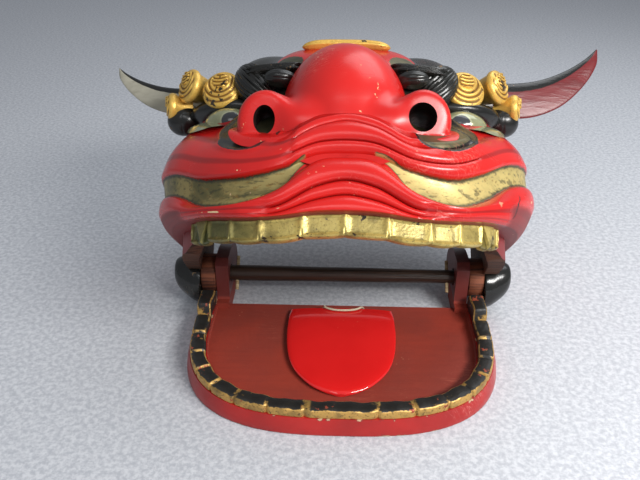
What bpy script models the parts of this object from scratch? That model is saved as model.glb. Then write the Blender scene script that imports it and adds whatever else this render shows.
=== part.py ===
"""Lion dance head: a hollow carved head that tilts on a cross rod over a flat lower jaw.

Metres, +Z up. The jaw lies flat on the floor and the origin is on its underside. The head is modelled
with its mouth closed, in its own frame: X to the side, F forward (-Y), Z up from the rod. An empty on the
rod's axis then tilts it back, which opens the mouth.
"""
from collections import namedtuple

import bmesh
import bpy
import numpy as np

for old in list(bpy.data.objects):
    bpy.data.objects.remove(old, do_unlink=True)

# Clearances between pieces
GAP = 0.0003
SEAT_GAP = 0.0008

# Rod, the hinge and handle
ROD_BACK = 0.090
ROD_HEIGHT = 0.031
ROD_RADIUS_LEFT = 0.0074
ROD_RADIUS_RIGHT = 0.0060
ROD_SEAT_DEPTH = 0.009
ROD_SIDES = 12
ROD_RUNNING_GAP = 0.0008
MOUTH_OPEN_DEGREES = 42.0
PIN_RADIUS = 0.0016
PIN_REACH = 0.0085
PIN_OFFSET_FROM_ARM = 0.006

# Head shell
HEAD_HALF_WIDTH = 0.146
HEAD_LENGTH = 0.226
HEAD_HEIGHT = 0.212
REAR_RIM = 0.046
PLAN_EXPONENT = 3.0
FRONT_PROFILE_EXPONENT = 2.4
SIDE_PROFILE_EXPONENT = 3.6
PROFILE_TURN_START = 30.0
PROFILE_TURN_END = 48.0
SIDE_WALL = 0.011
FRONT_WALL = 0.010
TOP_WALL = 0.011
GUM_INSET_FRONT = 0.016
GUM_INSET_SIDE = 0.008
FOLD_ZONE = 0.088
FOLD_DEPTH = 0.008
CHEEK_SWELL = 0.0155
CHEEK_ANGLE = 46.0
CHEEK_SPREAD = 17.0
CHEEK_LEVEL = 0.060
CHEEK_RISE = 0.040
STOP_DEPTH = 0.026
SHOULDER_START = 20.0  # degrees: from here to the end of the span the shoulders of the forehead slope more
SHOULDER_SPAN = 18.0
STOP_HEIGHT = 0.024
STOP_FADE_START = 0.135
SOCKET_DEPTH = 0.008
SIDE_STATION = 55.0
GUM_END = 35.0
SHELL_COLUMNS = 45
UNDERSIDE_RINGS = 3
SKULL_ROWS = 9
CAVITY_COLUMNS = 21
CAVITY_ROWS = 11
OVERCUT = 0.030


def head_place(side, forward, height):
    """Where a carved form sits: shares of the head's half width, length and height."""
    return side * HEAD_HALF_WIDTH, forward * HEAD_LENGTH - REAR_RIM, height * HEAD_HEIGHT


def sized(radius, across, along, tall):
    """Radii of a form as multiples of its named radius."""
    return across * radius, along * radius, tall * radius


# Nose
NOSE_RADIUS = 0.050
WING_RADIUS = 0.0215
DOME_CENTRE = head_place(0.0, 0.699, 0.500)
DOME_RADII = sized(NOSE_RADIUS, 1.0, 1.12, 1.24)
ROOT_CENTRE = head_place(0.0, 0.735, 0.410)
ROOT_RADII = sized(NOSE_RADIUS, 1.32, 1.0, 0.46)
WING_CENTRE = head_place(0.398, 0.836, 0.434)
WING_RADII = sized(WING_RADIUS, 1.0, 1.25, 0.94)
NOSTRIL_RADIUS = 0.0106
NOSTRIL_WIDTHS = {"left": 0.76, "right": 1.0}
NOSTRIL_DIP = 14.0
NOSTRIL_LENGTH = 0.090

# Brows, balls and eyes (right side, mirrored for the left)
BROW_RADIUS = 0.033
BROW_CENTRE = head_place(0.459, 0.668, 0.655)
BROW_RADII = sized(BROW_RADIUS, 1.0, 0.70, 0.42)
BROW_SLAB_CENTRE = head_place(0.390, 0.699, 0.686)
BROW_SLAB_RADII = sized(BROW_RADIUS, 0.70, 0.44, 0.15)
BROW_SLAB_TURN = -32.0
OVAL_CENTRE = head_place(0.355, 0.752, 0.636)
OVAL_RADII = sized(BROW_RADIUS, 0.39, 0.30, 0.26)
BALL_RADIUS = 0.0145
RIGHT_SHIFT = (-0.0050, 0.0, 0.0025)  # the right curls and ball sit a little further in and up than the left
BALL_CENTRE = head_place(0.959, 0.460, 0.590)
BALL_RADII = sized(BALL_RADIUS, 1.0, 1.03, 0.95)
EYE_RADIUS = 0.0225
EYE_CENTRE = head_place(0.655, 0.602, 0.504)
EYE_RADII = sized(EYE_RADIUS, 1.0, 0.84, 0.64)

# Crest on the forehead
CREST_FORWARD = head_place(0.0, 0.549, 1.0)[1]
CREST_HALF_SPAN = 0.038
CREST_RADIUS = 0.0055
CREST_SINK = 0.002

# Teeth
UPPER_TOOTH_THICKNESS = 0.0075
UPPER_TOOTH_INSET = 0.006
UPPER_TOOTH_HEIGHT = 0.0155
TOOTH_NOTCH = 0.0018
LOWER_TOOTH_HEIGHT = 0.0065
LOWER_TOOTH_DEPTH = 0.0130
LAST_TOOTH_RISE = 0.007
TOOTH_START = 0.001

# Jaw
JAW_HALF_WIDTH = 0.1290
JAW_FRONT = 0.170
JAW_REAR = 0.018
JAW_ROUND_LENGTH = 0.115
JAW_EXPONENT = 2.8
JAW_WALL_HEIGHT = 0.0140
JAW_WALL_LEAN = 0.003
JAW_WALL = 0.0165
JAW_FLOOR = 0.009
JAW_OUTLINE_POINTS = 33
ARM_INNER = 0.1015
ARM_OUTER = 0.1128
ARM_TOP = 0.053
ARM_FRONT = 0.016
ARM_BACK = 0.042
ARM_BACK_POINTS = 7
ARM_FOOT = 0.007
ARM_LIFT = 0.0
ARM_HEEL = 0.016

# Side curls that hold the rod
KNOB_INNER = 0.1270
KNOB_OUTER = 0.1520
KNOB_RADIUS = 0.0222
KNOB_DROP = 0.0065
KNOB_SIDES = 14
BLOCK_RADIUS = 0.0173
BLOCK_SIDES = 16

# Tongue and its string
TONGUE_REAR = 0.031
TONGUE_LENGTH = 0.107
TONGUE_HALF_WIDTH = 0.046
TONGUE_THICKNESS = 0.0075
STRING_RADIUS = 0.0009

# Folds of the lip and cheeks, from the lip edge up to the line under the nose. Every row gives one crease
# at the stations round the head: its height as a share of FOLD_ZONE, how far it stands out as a share of
# FOLD_DEPTH, and the roll between it and the crease above as a share of FOLD_DEPTH.
STATIONS = (0, 5, 12, 18, 26, 36, 48, 66, 90)
Fold = namedtuple("Fold", "name steps height stands_out roll")
FOLDS = (
    Fold("lip_edge", 2,
         (0.148, 0.142, 0.108, 0.108, 0.148, 0.182, 0.205, 0.216, 0.216),
         (0.25, 0.25, 0.25, 0.25, 0.25, 0.10, -0.40, -0.40, 0.0),
         (0.55, 0.50, 0.25, 0.12, 0.12, 0.12, 0.12, 0.06, 0.0)),
    Fold("lower_lip_crease", 2,
         (0.290, 0.250, 0.142, 0.136, 0.176, 0.210, 0.233, 0.244, 0.244),
         (-0.25, -0.25, -0.12, 0.15, 0.30, 0.30, 0.25, 0.12, 0.0),
         (0.55, 0.50, 0.30, 0.15, 0.15, 0.15, 0.15, 0.06, 0.0)),
    Fold("upper_lip_crease", 4,
         (0.409, 0.358, 0.193, 0.170, 0.210, 0.244, 0.267, 0.278, 0.278),
         (-0.30, -0.25, -0.12, 0.25, 0.50, 0.50, 0.45, 0.25, 0.0),
         (1.0, 1.0, 1.0, 0.95, 0.75, 0.70, 0.65, 0.35, 0.0)),
    Fold("band_lower_edge", 2,
         (0.619, 0.591, 0.335, 0.248, 0.305, 0.490, 0.575, 0.580, 0.580),
         (-0.85, -0.75, -0.5, -0.5, -0.5, -0.4, -0.25, -0.12, 0.0),
         (0.0, 0.0, -0.2, -0.25, -0.25, -0.25, -0.25, -0.12, 0.0)),
    Fold("band_upper_edge", 3,
         (0.640, 0.630, 0.511, 0.466, 0.534, 0.682, 0.739, 0.727, 0.705),
         (-0.85, -0.75, -0.6, -0.6, -0.6, -0.4, -0.25, -0.12, 0.0),
         (0.55, 0.55, 0.55, 0.55, 0.5, 0.4, 0.25, 0.12, 0.0)),
    Fold("middle_crease", 3,
         (0.756, 0.733, 0.602, 0.585, 0.682, 0.841, 0.909, 0.898, 0.875),
         (-0.25, -0.25, -0.2, -0.12, -0.12, 0.0, 0.0, 0.0, 0.0),
         (0.6, 0.6, 0.6, 0.55, 0.5, 0.4, 0.25, 0.12, 0.0)),
    Fold("lid_crease", 2,
         (0.932, 0.881, 0.722, 0.727, 0.841, 0.989, 1.057, 1.045, 1.023),
         (-0.12, -0.12, -0.25, -0.4, -0.5, -0.25, 0.0, 0.0, 0.0),
         (0.18, 0.18, 0.18, 0.18, 0.18, 0.12, 0.06, 0.0, 0.0)),
    Fold("nose_line", 0,
         (1.000, 0.955, 0.790, 0.795, 0.932, 1.102, 1.182, 1.170, 1.148),
         (0.0, 0.0, -0.12, -0.25, -0.6, -0.6, -0.4, 0.0, 0.0),
         (0.0, 0.0, 0.0, 0.0, 0.0, 0.0, 0.0, 0.0, 0.0)),
)
# Lower edge of the shell behind and beside the teeth, as a share of FOLD_ZONE
RIM_STATIONS = (0, 34, 42, 66, 90)
RIM_HEIGHT = (0.08, 0.10, 0.0, 0.0, 0.0)

# Gilded curls: centre by shares as in head_place(), radius as a share of CURL_RADIUS, and where each one faces
Curl = namedtuple("Curl", "name side forward height radius face_side face_forward face_up")
CURL_RADIUS = 0.0165
CURL_THICKNESS = 0.022
CURLS = (
    Curl("inner", 0.694, 0.593, 0.644, 1.00, 0.25, 0.95, 0.10),
    Curl("middle", 0.875, 0.542, 0.696, 0.88, 0.75, 0.65, 0.05),
    Curl("outer", 0.985, 0.490, 0.642, 0.70, 0.97, 0.25, -0.05),
)

# Ears: stations from root to tip, as shares of an ear's reach, rise, half height and half thickness
EAR_ROOT = head_place(0.808, 0.381, 0.693)
Ear = namedtuple("Ear", "name side reach rise back half_height half_thickness root_lift")
EARS = (
    Ear("left", -1, 0.094, 0.036, 0.012, 0.0130, 0.0085, 0.0040),
    Ear("right", 1, 0.115, 0.0555, 0.010, 0.0175, 0.0070, 0.0085),
)
EarStation = namedtuple("EarStation", "out up height thickness")
EAR_STATIONS = (
    EarStation(-0.16, 0.02, 0.85, 1.00),
    EarStation(0.00, 0.02, 0.85, 1.00),
    EarStation(0.15, 0.00, 0.95, 1.00),
    EarStation(0.38, 0.03, 1.00, 0.95),
    EarStation(0.60, 0.18, 0.88, 0.80),
    EarStation(0.80, 0.46, 0.62, 0.60),
    EarStation(0.94, 0.76, 0.34, 0.40),
    EarStation(1.00, 1.00, 0.04, 0.10),
)

# Side curls: sections from the inner face outwards, each drawn up towards the curl's flat top
KnobSection = namedtuple("KnobSection", "out size rise")
KNOB_SECTIONS = (
    KnobSection(0.00, 0.97, 0.0),
    KnobSection(0.06, 1.00, 0.0),
    KnobSection(0.30, 0.97, 1.0),
    KnobSection(0.55, 0.86, 0.9),
    KnobSection(0.80, 0.70, 0.8),
    KnobSection(0.95, 0.52, 0.7),
    KnobSection(1.00, 0.34, 0.6),
)

# Where teeth end, from the middle of a row: in degrees round the head, and as shares of half the jaw's wall
UPPER_TOOTH_ANGLES = (0, 7.6, 15.3, 21.3, 26.2, 29.8, 33.4)
LOWER_TOOTH_SHARES = (0.0, 0.115, 0.235, 0.350, 0.450, 0.545, 0.645, 0.755, 0.870, 0.985)

# Tongue sections from its root to its tip: shares of its length, half width and thickness, and its lift
TongueSection = namedtuple("TongueSection", "along half_width thickness lift")
TONGUE_SECTIONS = (
    TongueSection(0.00, 0.97, 0.75, 0.04),
    TongueSection(0.12, 1.00, 0.95, 0.00),
    TongueSection(0.35, 1.00, 1.00, 0.00),
    TongueSection(0.58, 0.93, 1.00, 0.00),
    TongueSection(0.76, 0.78, 0.90, 0.00),
    TongueSection(0.90, 0.52, 0.75, 0.00),
    TongueSection(1.00, 0.16, 0.45, 0.00),
)


def make_material(name, colour, roughness, metallic=0.0):
    """One Principled finish with a colour, a roughness and a metallic value."""
    material = bpy.data.materials.new(name)
    material.use_nodes = True
    shader = material.node_tree.nodes["Principled BSDF"]
    shader.inputs["Base Color"].default_value = (*colour, 1.0)
    shader.inputs["Roughness"].default_value = roughness
    shader.inputs["Metallic"].default_value = metallic
    return material


RED = make_material("red_lacquer", (0.52, 0.03, 0.025), 0.25)
DULL_RED = make_material("dull_red_paint", (0.30, 0.05, 0.03), 0.6)
GOLD = make_material("gilding", (0.50, 0.33, 0.08), 0.4, 0.8)
BLACK = make_material("black_lacquer", (0.02, 0.02, 0.018), 0.2)
WOOD = make_material("dark_wood", (0.06, 0.03, 0.015), 0.6)
TONGUE_RED = make_material("tongue_lacquer", (0.60, 0.02, 0.02), 0.08)
STRING_WHITE = make_material("string", (0.75, 0.70, 0.60), 0.8)

head = bpy.data.objects.new("head_pivot", None)
bpy.context.collection.objects.link(head)
head.location = (0.0, ROD_BACK, ROD_HEIGHT)
head.rotation_euler = (-np.radians(MOUTH_OPEN_DEGREES), 0.0, 0.0)

rod_line = bpy.data.objects.new("rod_line", None)
bpy.context.collection.objects.link(rod_line)
rod_line.location = (0.0, ROD_BACK, ROD_HEIGHT)

jaw_pivot = bpy.data.objects.new("jaw_pivot", None)
bpy.context.collection.objects.link(jaw_pivot)
jaw_pivot.location = (0.0, ROD_BACK, 0.0)


def unit(vector):
    vector = np.asarray(vector, dtype=float)
    return vector / np.linalg.norm(vector)


def head_point(side, forward, up):
    """Head frame to mesh axes: forward is -Y."""
    return np.stack(np.broadcast_arrays(side, -np.asarray(forward), up), axis=-1)


def loft(name, rings, parent, material=None, cutter=False, flat_ends=False):
    """A closed solid through rings of equal point counts, with a fan or one flat face at each end."""
    rings = np.asarray(rings, dtype=float)
    count, points = rings.shape[:2]
    vertices = list(rings.reshape(-1, 3))
    if not flat_ends:
        vertices += [rings[0].mean(axis=0), rings[-1].mean(axis=0)]
    first_pole = count * points
    last_pole = first_pole + 1
    faces = []
    for ring in range(count - 1):
        for point in range(points):
            following = (point + 1) % points
            low = ring * points
            high = low + points
            faces.append((low + point, low + following, high + following, high + point))
    top = (count - 1) * points
    if flat_ends:
        faces.append(tuple(range(points))[::-1])
        faces.append(tuple(range(top, top + points)))
    else:
        for point in range(points):
            following = (point + 1) % points
            faces.append((following, point, first_pole))
            faces.append((top + point, top + following, last_pole))
    mesh = bpy.data.meshes.new(name)
    mesh.from_pydata([tuple(vertex) for vertex in vertices], [], faces)
    work = bmesh.new()
    work.from_mesh(mesh)
    bmesh.ops.remove_doubles(work, verts=work.verts, dist=1e-6)
    bmesh.ops.dissolve_degenerate(work, edges=work.edges, dist=1e-6)
    bmesh.ops.recalc_face_normals(work, faces=work.faces)
    work.to_mesh(mesh)
    work.free()
    piece = bpy.data.objects.new(name, mesh)
    bpy.context.collection.objects.link(piece)
    piece.parent = parent
    if cutter:
        piece.hide_render = True
        piece.display_type = "WIRE"
    else:
        mesh.materials.append(material)
    return piece


def boolean(piece, other, operation):
    modifier = piece.modifiers.new(operation.lower() + "_" + other.name, "BOOLEAN")
    modifier.operation = operation
    modifier.object = other
    return piece


def cut(piece, *cutters):
    for cutter in cutters:
        boolean(piece, cutter, "DIFFERENCE")
    return piece


def fuse(piece, *others):
    for other in others:
        boolean(piece, other, "UNION")
    return piece


def ellipsoid_rings(centre, radii, turn_degrees=0.0, sides=12, stacks=8, grow=0.0):
    """Rings of an ellipsoid stacked along its up axis and turned about it.

    centre is side, forward and up; each ring is a circle of latitude."""
    latitude = np.radians(np.linspace(-90, 90, stacks + 1))[1:-1, None]
    longitude = np.radians(np.linspace(0, 360, sides, endpoint=False))[None, :]
    across, along, tall = (radius + grow for radius in radii)
    side = across * np.cos(latitude) * np.cos(longitude)
    forward = along * np.cos(latitude) * np.sin(longitude)
    up = tall * np.sin(latitude) + 0 * longitude
    angle = np.radians(turn_degrees)
    turned_side = side * np.cos(angle) + forward * np.sin(angle)
    turned_forward = -side * np.sin(angle) + forward * np.cos(angle)
    body = head_point(centre[0] + turned_side, centre[1] + turned_forward, centre[2] + up)
    lift = np.array([[[0.0, 0.0, tall]]])
    middle = head_point(*[np.full((1, 1), value) for value in centre])
    poles = np.repeat(middle, sides, axis=1)
    return np.concatenate([poles - lift, body, poles + lift])


def disc_rings(centre, face, radius, thickness, sides=12, grow=0.0):
    """Rings of a rounded disc whose axis points along face."""
    axis = unit((face[0], -face[1], face[2]))
    across = unit(np.cross((0.0, 0.0, 1.0), axis))
    upward = np.cross(axis, across)
    turn = np.radians(np.linspace(0, 360, sides, endpoint=False))
    circle = np.cos(turn)[:, None] * across + np.sin(turn)[:, None] * upward
    start = head_point(*centre)
    rings = []
    for along, width in ((-0.5, 0.70), (-0.35, 0.95), (0.0, 1.05), (0.35, 0.95), (0.5, 0.72)):
        reach = along * (thickness + 2 * grow)
        rings.append(start + axis * reach + circle * (width * radius + grow))
    return rings


def profile_exponent(angle):
    """The skull is round in front and boxy at the sides."""
    share = np.clip((np.degrees(np.abs(angle)) - PROFILE_TURN_START)
                    / (PROFILE_TURN_END - PROFILE_TURN_START), 0, 1)
    smooth = share * share * (3 - 2 * share)
    return FRONT_PROFILE_EXPONENT + (SIDE_PROFILE_EXPONENT - FRONT_PROFILE_EXPONENT) * smooth


def plan_radius(angle, half_width, length):
    """Superellipse in plan, as a radius about the middle of the rear rim."""
    term = (np.abs(np.sin(angle)) / half_width) ** PLAN_EXPONENT
    term = term + (np.abs(np.cos(angle)) / length) ** PLAN_EXPONENT
    return term ** (-1.0 / PLAN_EXPONENT)


def skull_radius(angle, level, half_width=HEAD_HALF_WIDTH, length=HEAD_LENGTH, height=HEAD_HEIGHT):
    """Plan radius at a level, drawn in towards the top by the profile's superellipse."""
    power = profile_exponent(angle)
    share = np.clip(np.maximum(level, 0) / height, 0, 1)
    return plan_radius(angle, half_width, length) * (1 - share ** power) ** (1 / power)


def smooth_table(angle, values, stations=STATIONS):
    """Values at the stations, joined by a smooth curve that has no overshoot."""
    degrees = np.degrees(np.abs(angle))
    stations = np.asarray(stations, dtype=float)
    values = np.asarray(values, dtype=float)
    slopes = np.gradient(values, stations)
    slopes[0] = 0.0
    index = np.clip(np.searchsorted(stations, degrees, side="right") - 1, 0, len(stations) - 2)
    span = stations[index + 1] - stations[index]
    t = (degrees - stations[index]) / span
    start, end = values[index], values[index + 1]
    return ((2 * t ** 3 - 3 * t ** 2 + 1) * start + (t ** 3 - 2 * t ** 2 + t) * span * slopes[index]
            + (-2 * t ** 3 + 3 * t ** 2) * end + (t ** 3 - t ** 2) * span * slopes[index + 1])


def swell(angle, level):
    """Cheek swelling, the stop above the muzzle and eye sockets, as an offset of the plan radius."""
    degrees = np.degrees(np.abs(angle))
    cheek = CHEEK_SWELL * np.exp(-((degrees - CHEEK_ANGLE) / CHEEK_SPREAD) ** 2)
    cheek = cheek * np.exp(-((level - CHEEK_LEVEL) / CHEEK_RISE) ** 2)
    side = np.sin(np.abs(angle)) * skull_radius(angle, level)
    above = np.clip((level - FOLD_ZONE * smooth_table(angle, FOLDS[-1].height)) / STOP_HEIGHT, 0, 1)
    fade = np.clip((HEAD_HEIGHT - level) / (HEAD_HEIGHT - STOP_FADE_START), 0, 1)
    round_side = np.clip((90 - degrees) / (90 - SIDE_STATION), 0, 1)
    shoulder = np.clip((degrees - SHOULDER_START) / SHOULDER_SPAN, 0, 1)
    shoulder = shoulder * shoulder * (3 - 2 * shoulder)
    stop = STOP_DEPTH * above * above * (3 - 2 * above) * fade ** (1 - 0.6 * shoulder) * round_side
    socket = SOCKET_DEPTH * np.exp(-((side - EYE_CENTRE[0]) / EYE_RADII[0]) ** 2)
    socket = socket * np.exp(-((level - EYE_CENTRE[2]) / EYE_RADII[2]) ** 2)
    return cheek - stop - socket


def lip_level(angle):
    return FOLD_ZONE * smooth_table(angle, FOLDS[0].height)


def shell_rings(grow=0.0):
    """Rings of the outer surface from the lower rim to the crown, each running round the front.

    The last point of a ring joins its first across the plane of the rear rim."""
    angle = np.radians(np.linspace(-90, 90, SHELL_COLUMNS))
    inset_share = np.interp(np.degrees(np.abs(angle)), (GUM_END, GUM_END + 10), (1.0, 0.0))
    inset = GUM_INSET_SIDE + (GUM_INSET_FRONT - GUM_INSET_SIDE) * inset_share
    rim = FOLD_ZONE * np.interp(np.degrees(np.abs(angle)), RIM_STATIONS, RIM_HEIGHT)
    lip = lip_level(angle)
    levels = [rim, lip]
    offsets = [-inset, -inset]
    for fold, above in zip(FOLDS[:-1], FOLDS[1:]):
        for step in range(fold.steps):
            share = step / fold.steps
            height = (1 - share) * smooth_table(angle, fold.height) + share * smooth_table(angle, above.height)
            out = (1 - share) * smooth_table(angle, fold.stands_out)
            out = out + share * smooth_table(angle, above.stands_out)
            out = out + smooth_table(angle, fold.roll) * np.sqrt(4 * share * (1 - share))
            levels.append(FOLD_ZONE * height)
            offsets.append(FOLD_DEPTH * out)
    nose_line = FOLD_ZONE * smooth_table(angle, FOLDS[-1].height)
    nose_out = FOLD_DEPTH * smooth_table(angle, FOLDS[-1].stands_out)
    power = profile_exponent(angle)
    start = np.arcsin(np.clip(nose_line / HEAD_HEIGHT, 0, 1) ** (power / 2))
    for row in range(SKULL_ROWS):
        share = row / SKULL_ROWS
        climb = start + (np.pi / 2 - start) * share
        levels.append(HEAD_HEIGHT * np.sin(climb) ** (2 / power))
        offsets.append(nose_out * np.clip(1 - 3 * share, 0, 1))
    rings = []
    for number, (level, offset) in enumerate(zip(levels, offsets)):
        radius = skull_radius(angle, level) + offset + grow
        if number > 1:
            radius = radius + swell(angle, level)
        rear = np.where(np.abs(np.abs(angle) - np.pi / 2) < 1e-6, grow, 0.0)
        forward = radius * np.cos(angle) - REAR_RIM - rear
        rise = grow if number >= UNDERSIDE_RINGS else -grow
        rings.append(head_point(radius * np.sin(angle), forward, level + rise))
    crown = np.repeat(head_point(0.0, -REAR_RIM, HEAD_HEIGHT + grow)[None, :], SHELL_COLUMNS, axis=0)
    return rings + [crown]


def cavity_rings():
    """The hollow inside the head, open behind and below."""
    angle = np.radians(np.linspace(-90, 90, CAVITY_COLUMNS))
    angle = np.concatenate([angle[:1], angle, angle[-1:]])
    back = np.zeros(len(angle))
    back[[0, -1]] = OVERCUT
    half_width = HEAD_HALF_WIDTH - GUM_INSET_SIDE - SIDE_WALL
    length = HEAD_LENGTH - GUM_INSET_FRONT - FRONT_WALL
    height = HEAD_HEIGHT - TOP_WALL
    power = profile_exponent(angle)
    rings = []
    levels = [np.full(len(angle), -OVERCUT)]
    for row in range(CAVITY_ROWS):
        climb = np.pi / 2 * row / CAVITY_ROWS
        levels.append(height * np.sin(climb) ** (2 / power))
    for level in levels:
        radius = skull_radius(angle, level, half_width, length, height)
        outside = skull_radius(angle, level) + swell(angle, level)
        radius = np.minimum(radius, outside - SIDE_WALL)
        rings.append(head_point(radius * np.sin(angle), radius * np.cos(angle) - REAR_RIM - back, level))
    crown = head_point(np.zeros(len(angle)), -REAR_RIM - back, np.full(len(angle), height))
    return rings + [crown]


seat = loft("seat_cutter", shell_rings(SEAT_GAP), head, cutter=True)
cavity = loft("cavity_cutter", cavity_rings(), head, cutter=True)


def wheel_rings(stations, centre_back, centre_up, sides, phase=0.5):
    """Rings round an axis along X: each station is a place on X, a radius and a rise."""
    turn = 2 * np.pi * (np.arange(sides) + phase) / sides
    rings = []
    for place, radius, rise in stations:
        ring = np.stack([np.full(sides, place), centre_back + radius * np.cos(turn),
                         centre_up + rise + radius * np.sin(turn)], axis=-1)
        rings.append(ring)
    return rings


knob_notch = loft("knob_notch", wheel_rings(
    [(-KNOB_OUTER - OVERCUT, KNOB_RADIUS + 2 * GAP, 0.0), (KNOB_OUTER + OVERCUT, KNOB_RADIUS + 2 * GAP, 0.0)],
    0.0, -KNOB_DROP, KNOB_SIDES), rod_line, cutter=True)


def nostril_rings(side, width):
    """A bore through one wing of the nose, into the hollow. It dips towards its mouth."""
    turn = np.radians(np.linspace(0, 360, 12, endpoint=False))
    dip = np.radians(NOSTRIL_DIP)
    axis = np.array([0.0, -np.cos(dip), -np.sin(dip)])
    upward = np.array([0.0, -np.sin(dip), np.cos(dip)])
    circle = width * NOSTRIL_RADIUS * np.cos(turn)[:, None] * np.array([1.0, 0.0, 0.0])
    circle = circle + NOSTRIL_RADIUS * np.sin(turn)[:, None] * upward
    middle = head_point(side * WING_CENTRE[0], WING_CENTRE[1], WING_CENTRE[2])
    return [middle + axis * reach + circle for reach in (-NOSTRIL_LENGTH / 2, NOSTRIL_LENGTH / 2)]


nostrils = [loft("nostril_bore_" + name, nostril_rings(side, NOSTRIL_WIDTHS[name]), head, cutter=True)
            for name, side in (("left", -1), ("right", 1))]

block_notch = loft("block_notch", wheel_rings(
    [(-KNOB_INNER, BLOCK_RADIUS + 2 * GAP, 0.0), (KNOB_INNER, BLOCK_RADIUS + 2 * GAP, 0.0)],
    0.0, 0.0, BLOCK_SIDES), rod_line, cutter=True)
shell = loft("head_shell", shell_rings(), head, RED)
cut(shell, cavity, knob_notch, block_notch, *nostrils)


def mirrored(values, side):
    return (side * values[0], values[1], values[2])


def beside(values, side):
    """Mirrored for the left side, and moved by RIGHT_SHIFT on the right one."""
    if side < 0:
        return mirrored(values, side)
    return tuple(value + shift for value, shift in zip(values, RIGHT_SHIFT))


def nose_pieces(grow, suffix):
    """Dome, root and wings, which the nose and its cutter share."""
    dome = ellipsoid_rings(DOME_CENTRE, DOME_RADII, 0.0, 20, 12, grow)
    root = ellipsoid_rings(ROOT_CENTRE, ROOT_RADII, 0.0, 22, 9, grow)
    wings = [ellipsoid_rings(mirrored(WING_CENTRE, side), WING_RADII, 0.0, 16, 10, grow)
             for side in (-1, 1)]
    return [loft("nose_part_%s_%d" % (suffix, number), rings, head, cutter=True)
            for number, rings in enumerate([dome, root] + wings)]


nose = loft("nose", ellipsoid_rings(DOME_CENTRE, DOME_RADII, 0.0, 20, 12), head, RED)
fuse(nose, *nose_pieces(0.0, "plain")[1:])
cut(nose, *nostrils, seat)
nose_cutters = nose_pieces(SEAT_GAP, "grown")


def curl_rings(curl, side, grow=0.0):
    centre = beside(head_place(curl.side, curl.forward, curl.height), side)
    face = (side * curl.face_side, curl.face_forward, curl.face_up)
    return disc_rings(centre, face, curl.radius * CURL_RADIUS, CURL_THICKNESS, 12, grow)


for word, side in (("left", -1), ("right", 1)):
    curls = loft("curls_" + word, curl_rings(CURLS[0], side), head, GOLD)
    others = [loft("curl_%s_%s" % (curl.name, word), curl_rings(curl, side), head, cutter=True)
              for curl in CURLS[1:]]
    fuse(curls, *others)
    cut(curls, seat)
    curl_cutters = [loft("curl_cutter_%s_%s" % (curl.name, word), curl_rings(curl, side, SEAT_GAP),
                         head, cutter=True) for curl in CURLS]

    brow = loft("brow_" + word, ellipsoid_rings(mirrored(BROW_CENTRE, side), BROW_RADII, 0.0, 14, 10),
                head, BLACK)
    slab = loft("brow_slab_" + word, ellipsoid_rings(mirrored(BROW_SLAB_CENTRE, side), BROW_SLAB_RADII,
                                                     -side * BROW_SLAB_TURN, 12, 4), head, cutter=True)
    oval = loft("brow_oval_" + word, ellipsoid_rings(mirrored(OVAL_CENTRE, side), OVAL_RADII,
                                                     side * 20, 12, 6), head, cutter=True)
    fuse(brow, slab, oval)
    cut(brow, seat, *nose_cutters, *curl_cutters)

    brow_cutter = loft("brow_cutter_" + word, ellipsoid_rings(
        mirrored(BROW_CENTRE, side), BROW_RADII, 0.0, 14, 10, SEAT_GAP), head, cutter=True)
    eye = loft("eye_" + word, ellipsoid_rings(mirrored(EYE_CENTRE, side), EYE_RADII,
                                              side * 35, 14, 8), head, BLACK)
    cut(eye, seat, *nose_cutters, *curl_cutters, brow_cutter)

    ball = loft("side_ball_" + word, ellipsoid_rings(beside(BALL_CENTRE, side), BALL_RADII, 0.0, 12, 8),
                head, BLACK)
    cut(ball, seat, *curl_cutters)


def ear_rings(ear, grow=0.0):
    """A horn-like ear: elliptical sections that rise and shrink from the root to the tip."""
    turn = np.radians(np.linspace(0, 360, 10, endpoint=False))
    rings = []
    for station in EAR_STATIONS:
        centre_side = ear.side * (EAR_ROOT[0] + station.out * ear.reach)
        forward = EAR_ROOT[1] - station.out * ear.back
        up = EAR_ROOT[2] + ear.root_lift + station.up * ear.rise
        tall = station.height * ear.half_height + grow
        thick = station.thickness * ear.half_thickness + grow
        lean = np.radians(62) * station.out
        rings.append(head_point(centre_side - ear.side * tall * np.sin(turn) * np.sin(lean),
                                forward + thick * np.cos(turn), up + tall * np.sin(turn) * np.cos(lean)))
    return rings


for ear in EARS:
    piece = loft("ear_" + ear.name, ear_rings(ear), head, BLACK)
    ball_cutter = loft("ball_cutter_" + ear.name, ellipsoid_rings(
        beside(BALL_CENTRE, ear.side), BALL_RADII, 0.0, 12, 8, SEAT_GAP), head, cutter=True)
    cutters = [bpy.data.objects["curl_cutter_%s_%s" % (curl.name, ear.name)] for curl in CURLS]
    cut(piece, seat, ball_cutter, *cutters)


def crest_rings():
    """A low bar that follows the forehead from side to side."""
    turn = np.radians(np.linspace(0, 360, 8, endpoint=False))
    rings = []
    for share in np.linspace(-1, 1, 11):
        side = share * CREST_HALF_SPAN
        reach = CREST_FORWARD + REAR_RIM
        angle = np.arctan2(side, reach)
        power = profile_exponent(angle)
        inward = np.hypot(side, reach) / plan_radius(angle, HEAD_HALF_WIDTH, HEAD_LENGTH)
        level = HEAD_HEIGHT * (1 - inward ** power) ** (1 / power)
        radius = CREST_RADIUS * (0.35 + 0.65 * np.sqrt(1 - min(share * share, 1) * 0.96))
        rings.append(head_point(np.full(8, side), CREST_FORWARD + 1.5 * radius * np.cos(turn),
                                level - CREST_SINK + radius * np.sin(turn)))
    return rings


crest = loft("crest", crest_rings(), head, GOLD)
cut(crest, seat)


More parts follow.
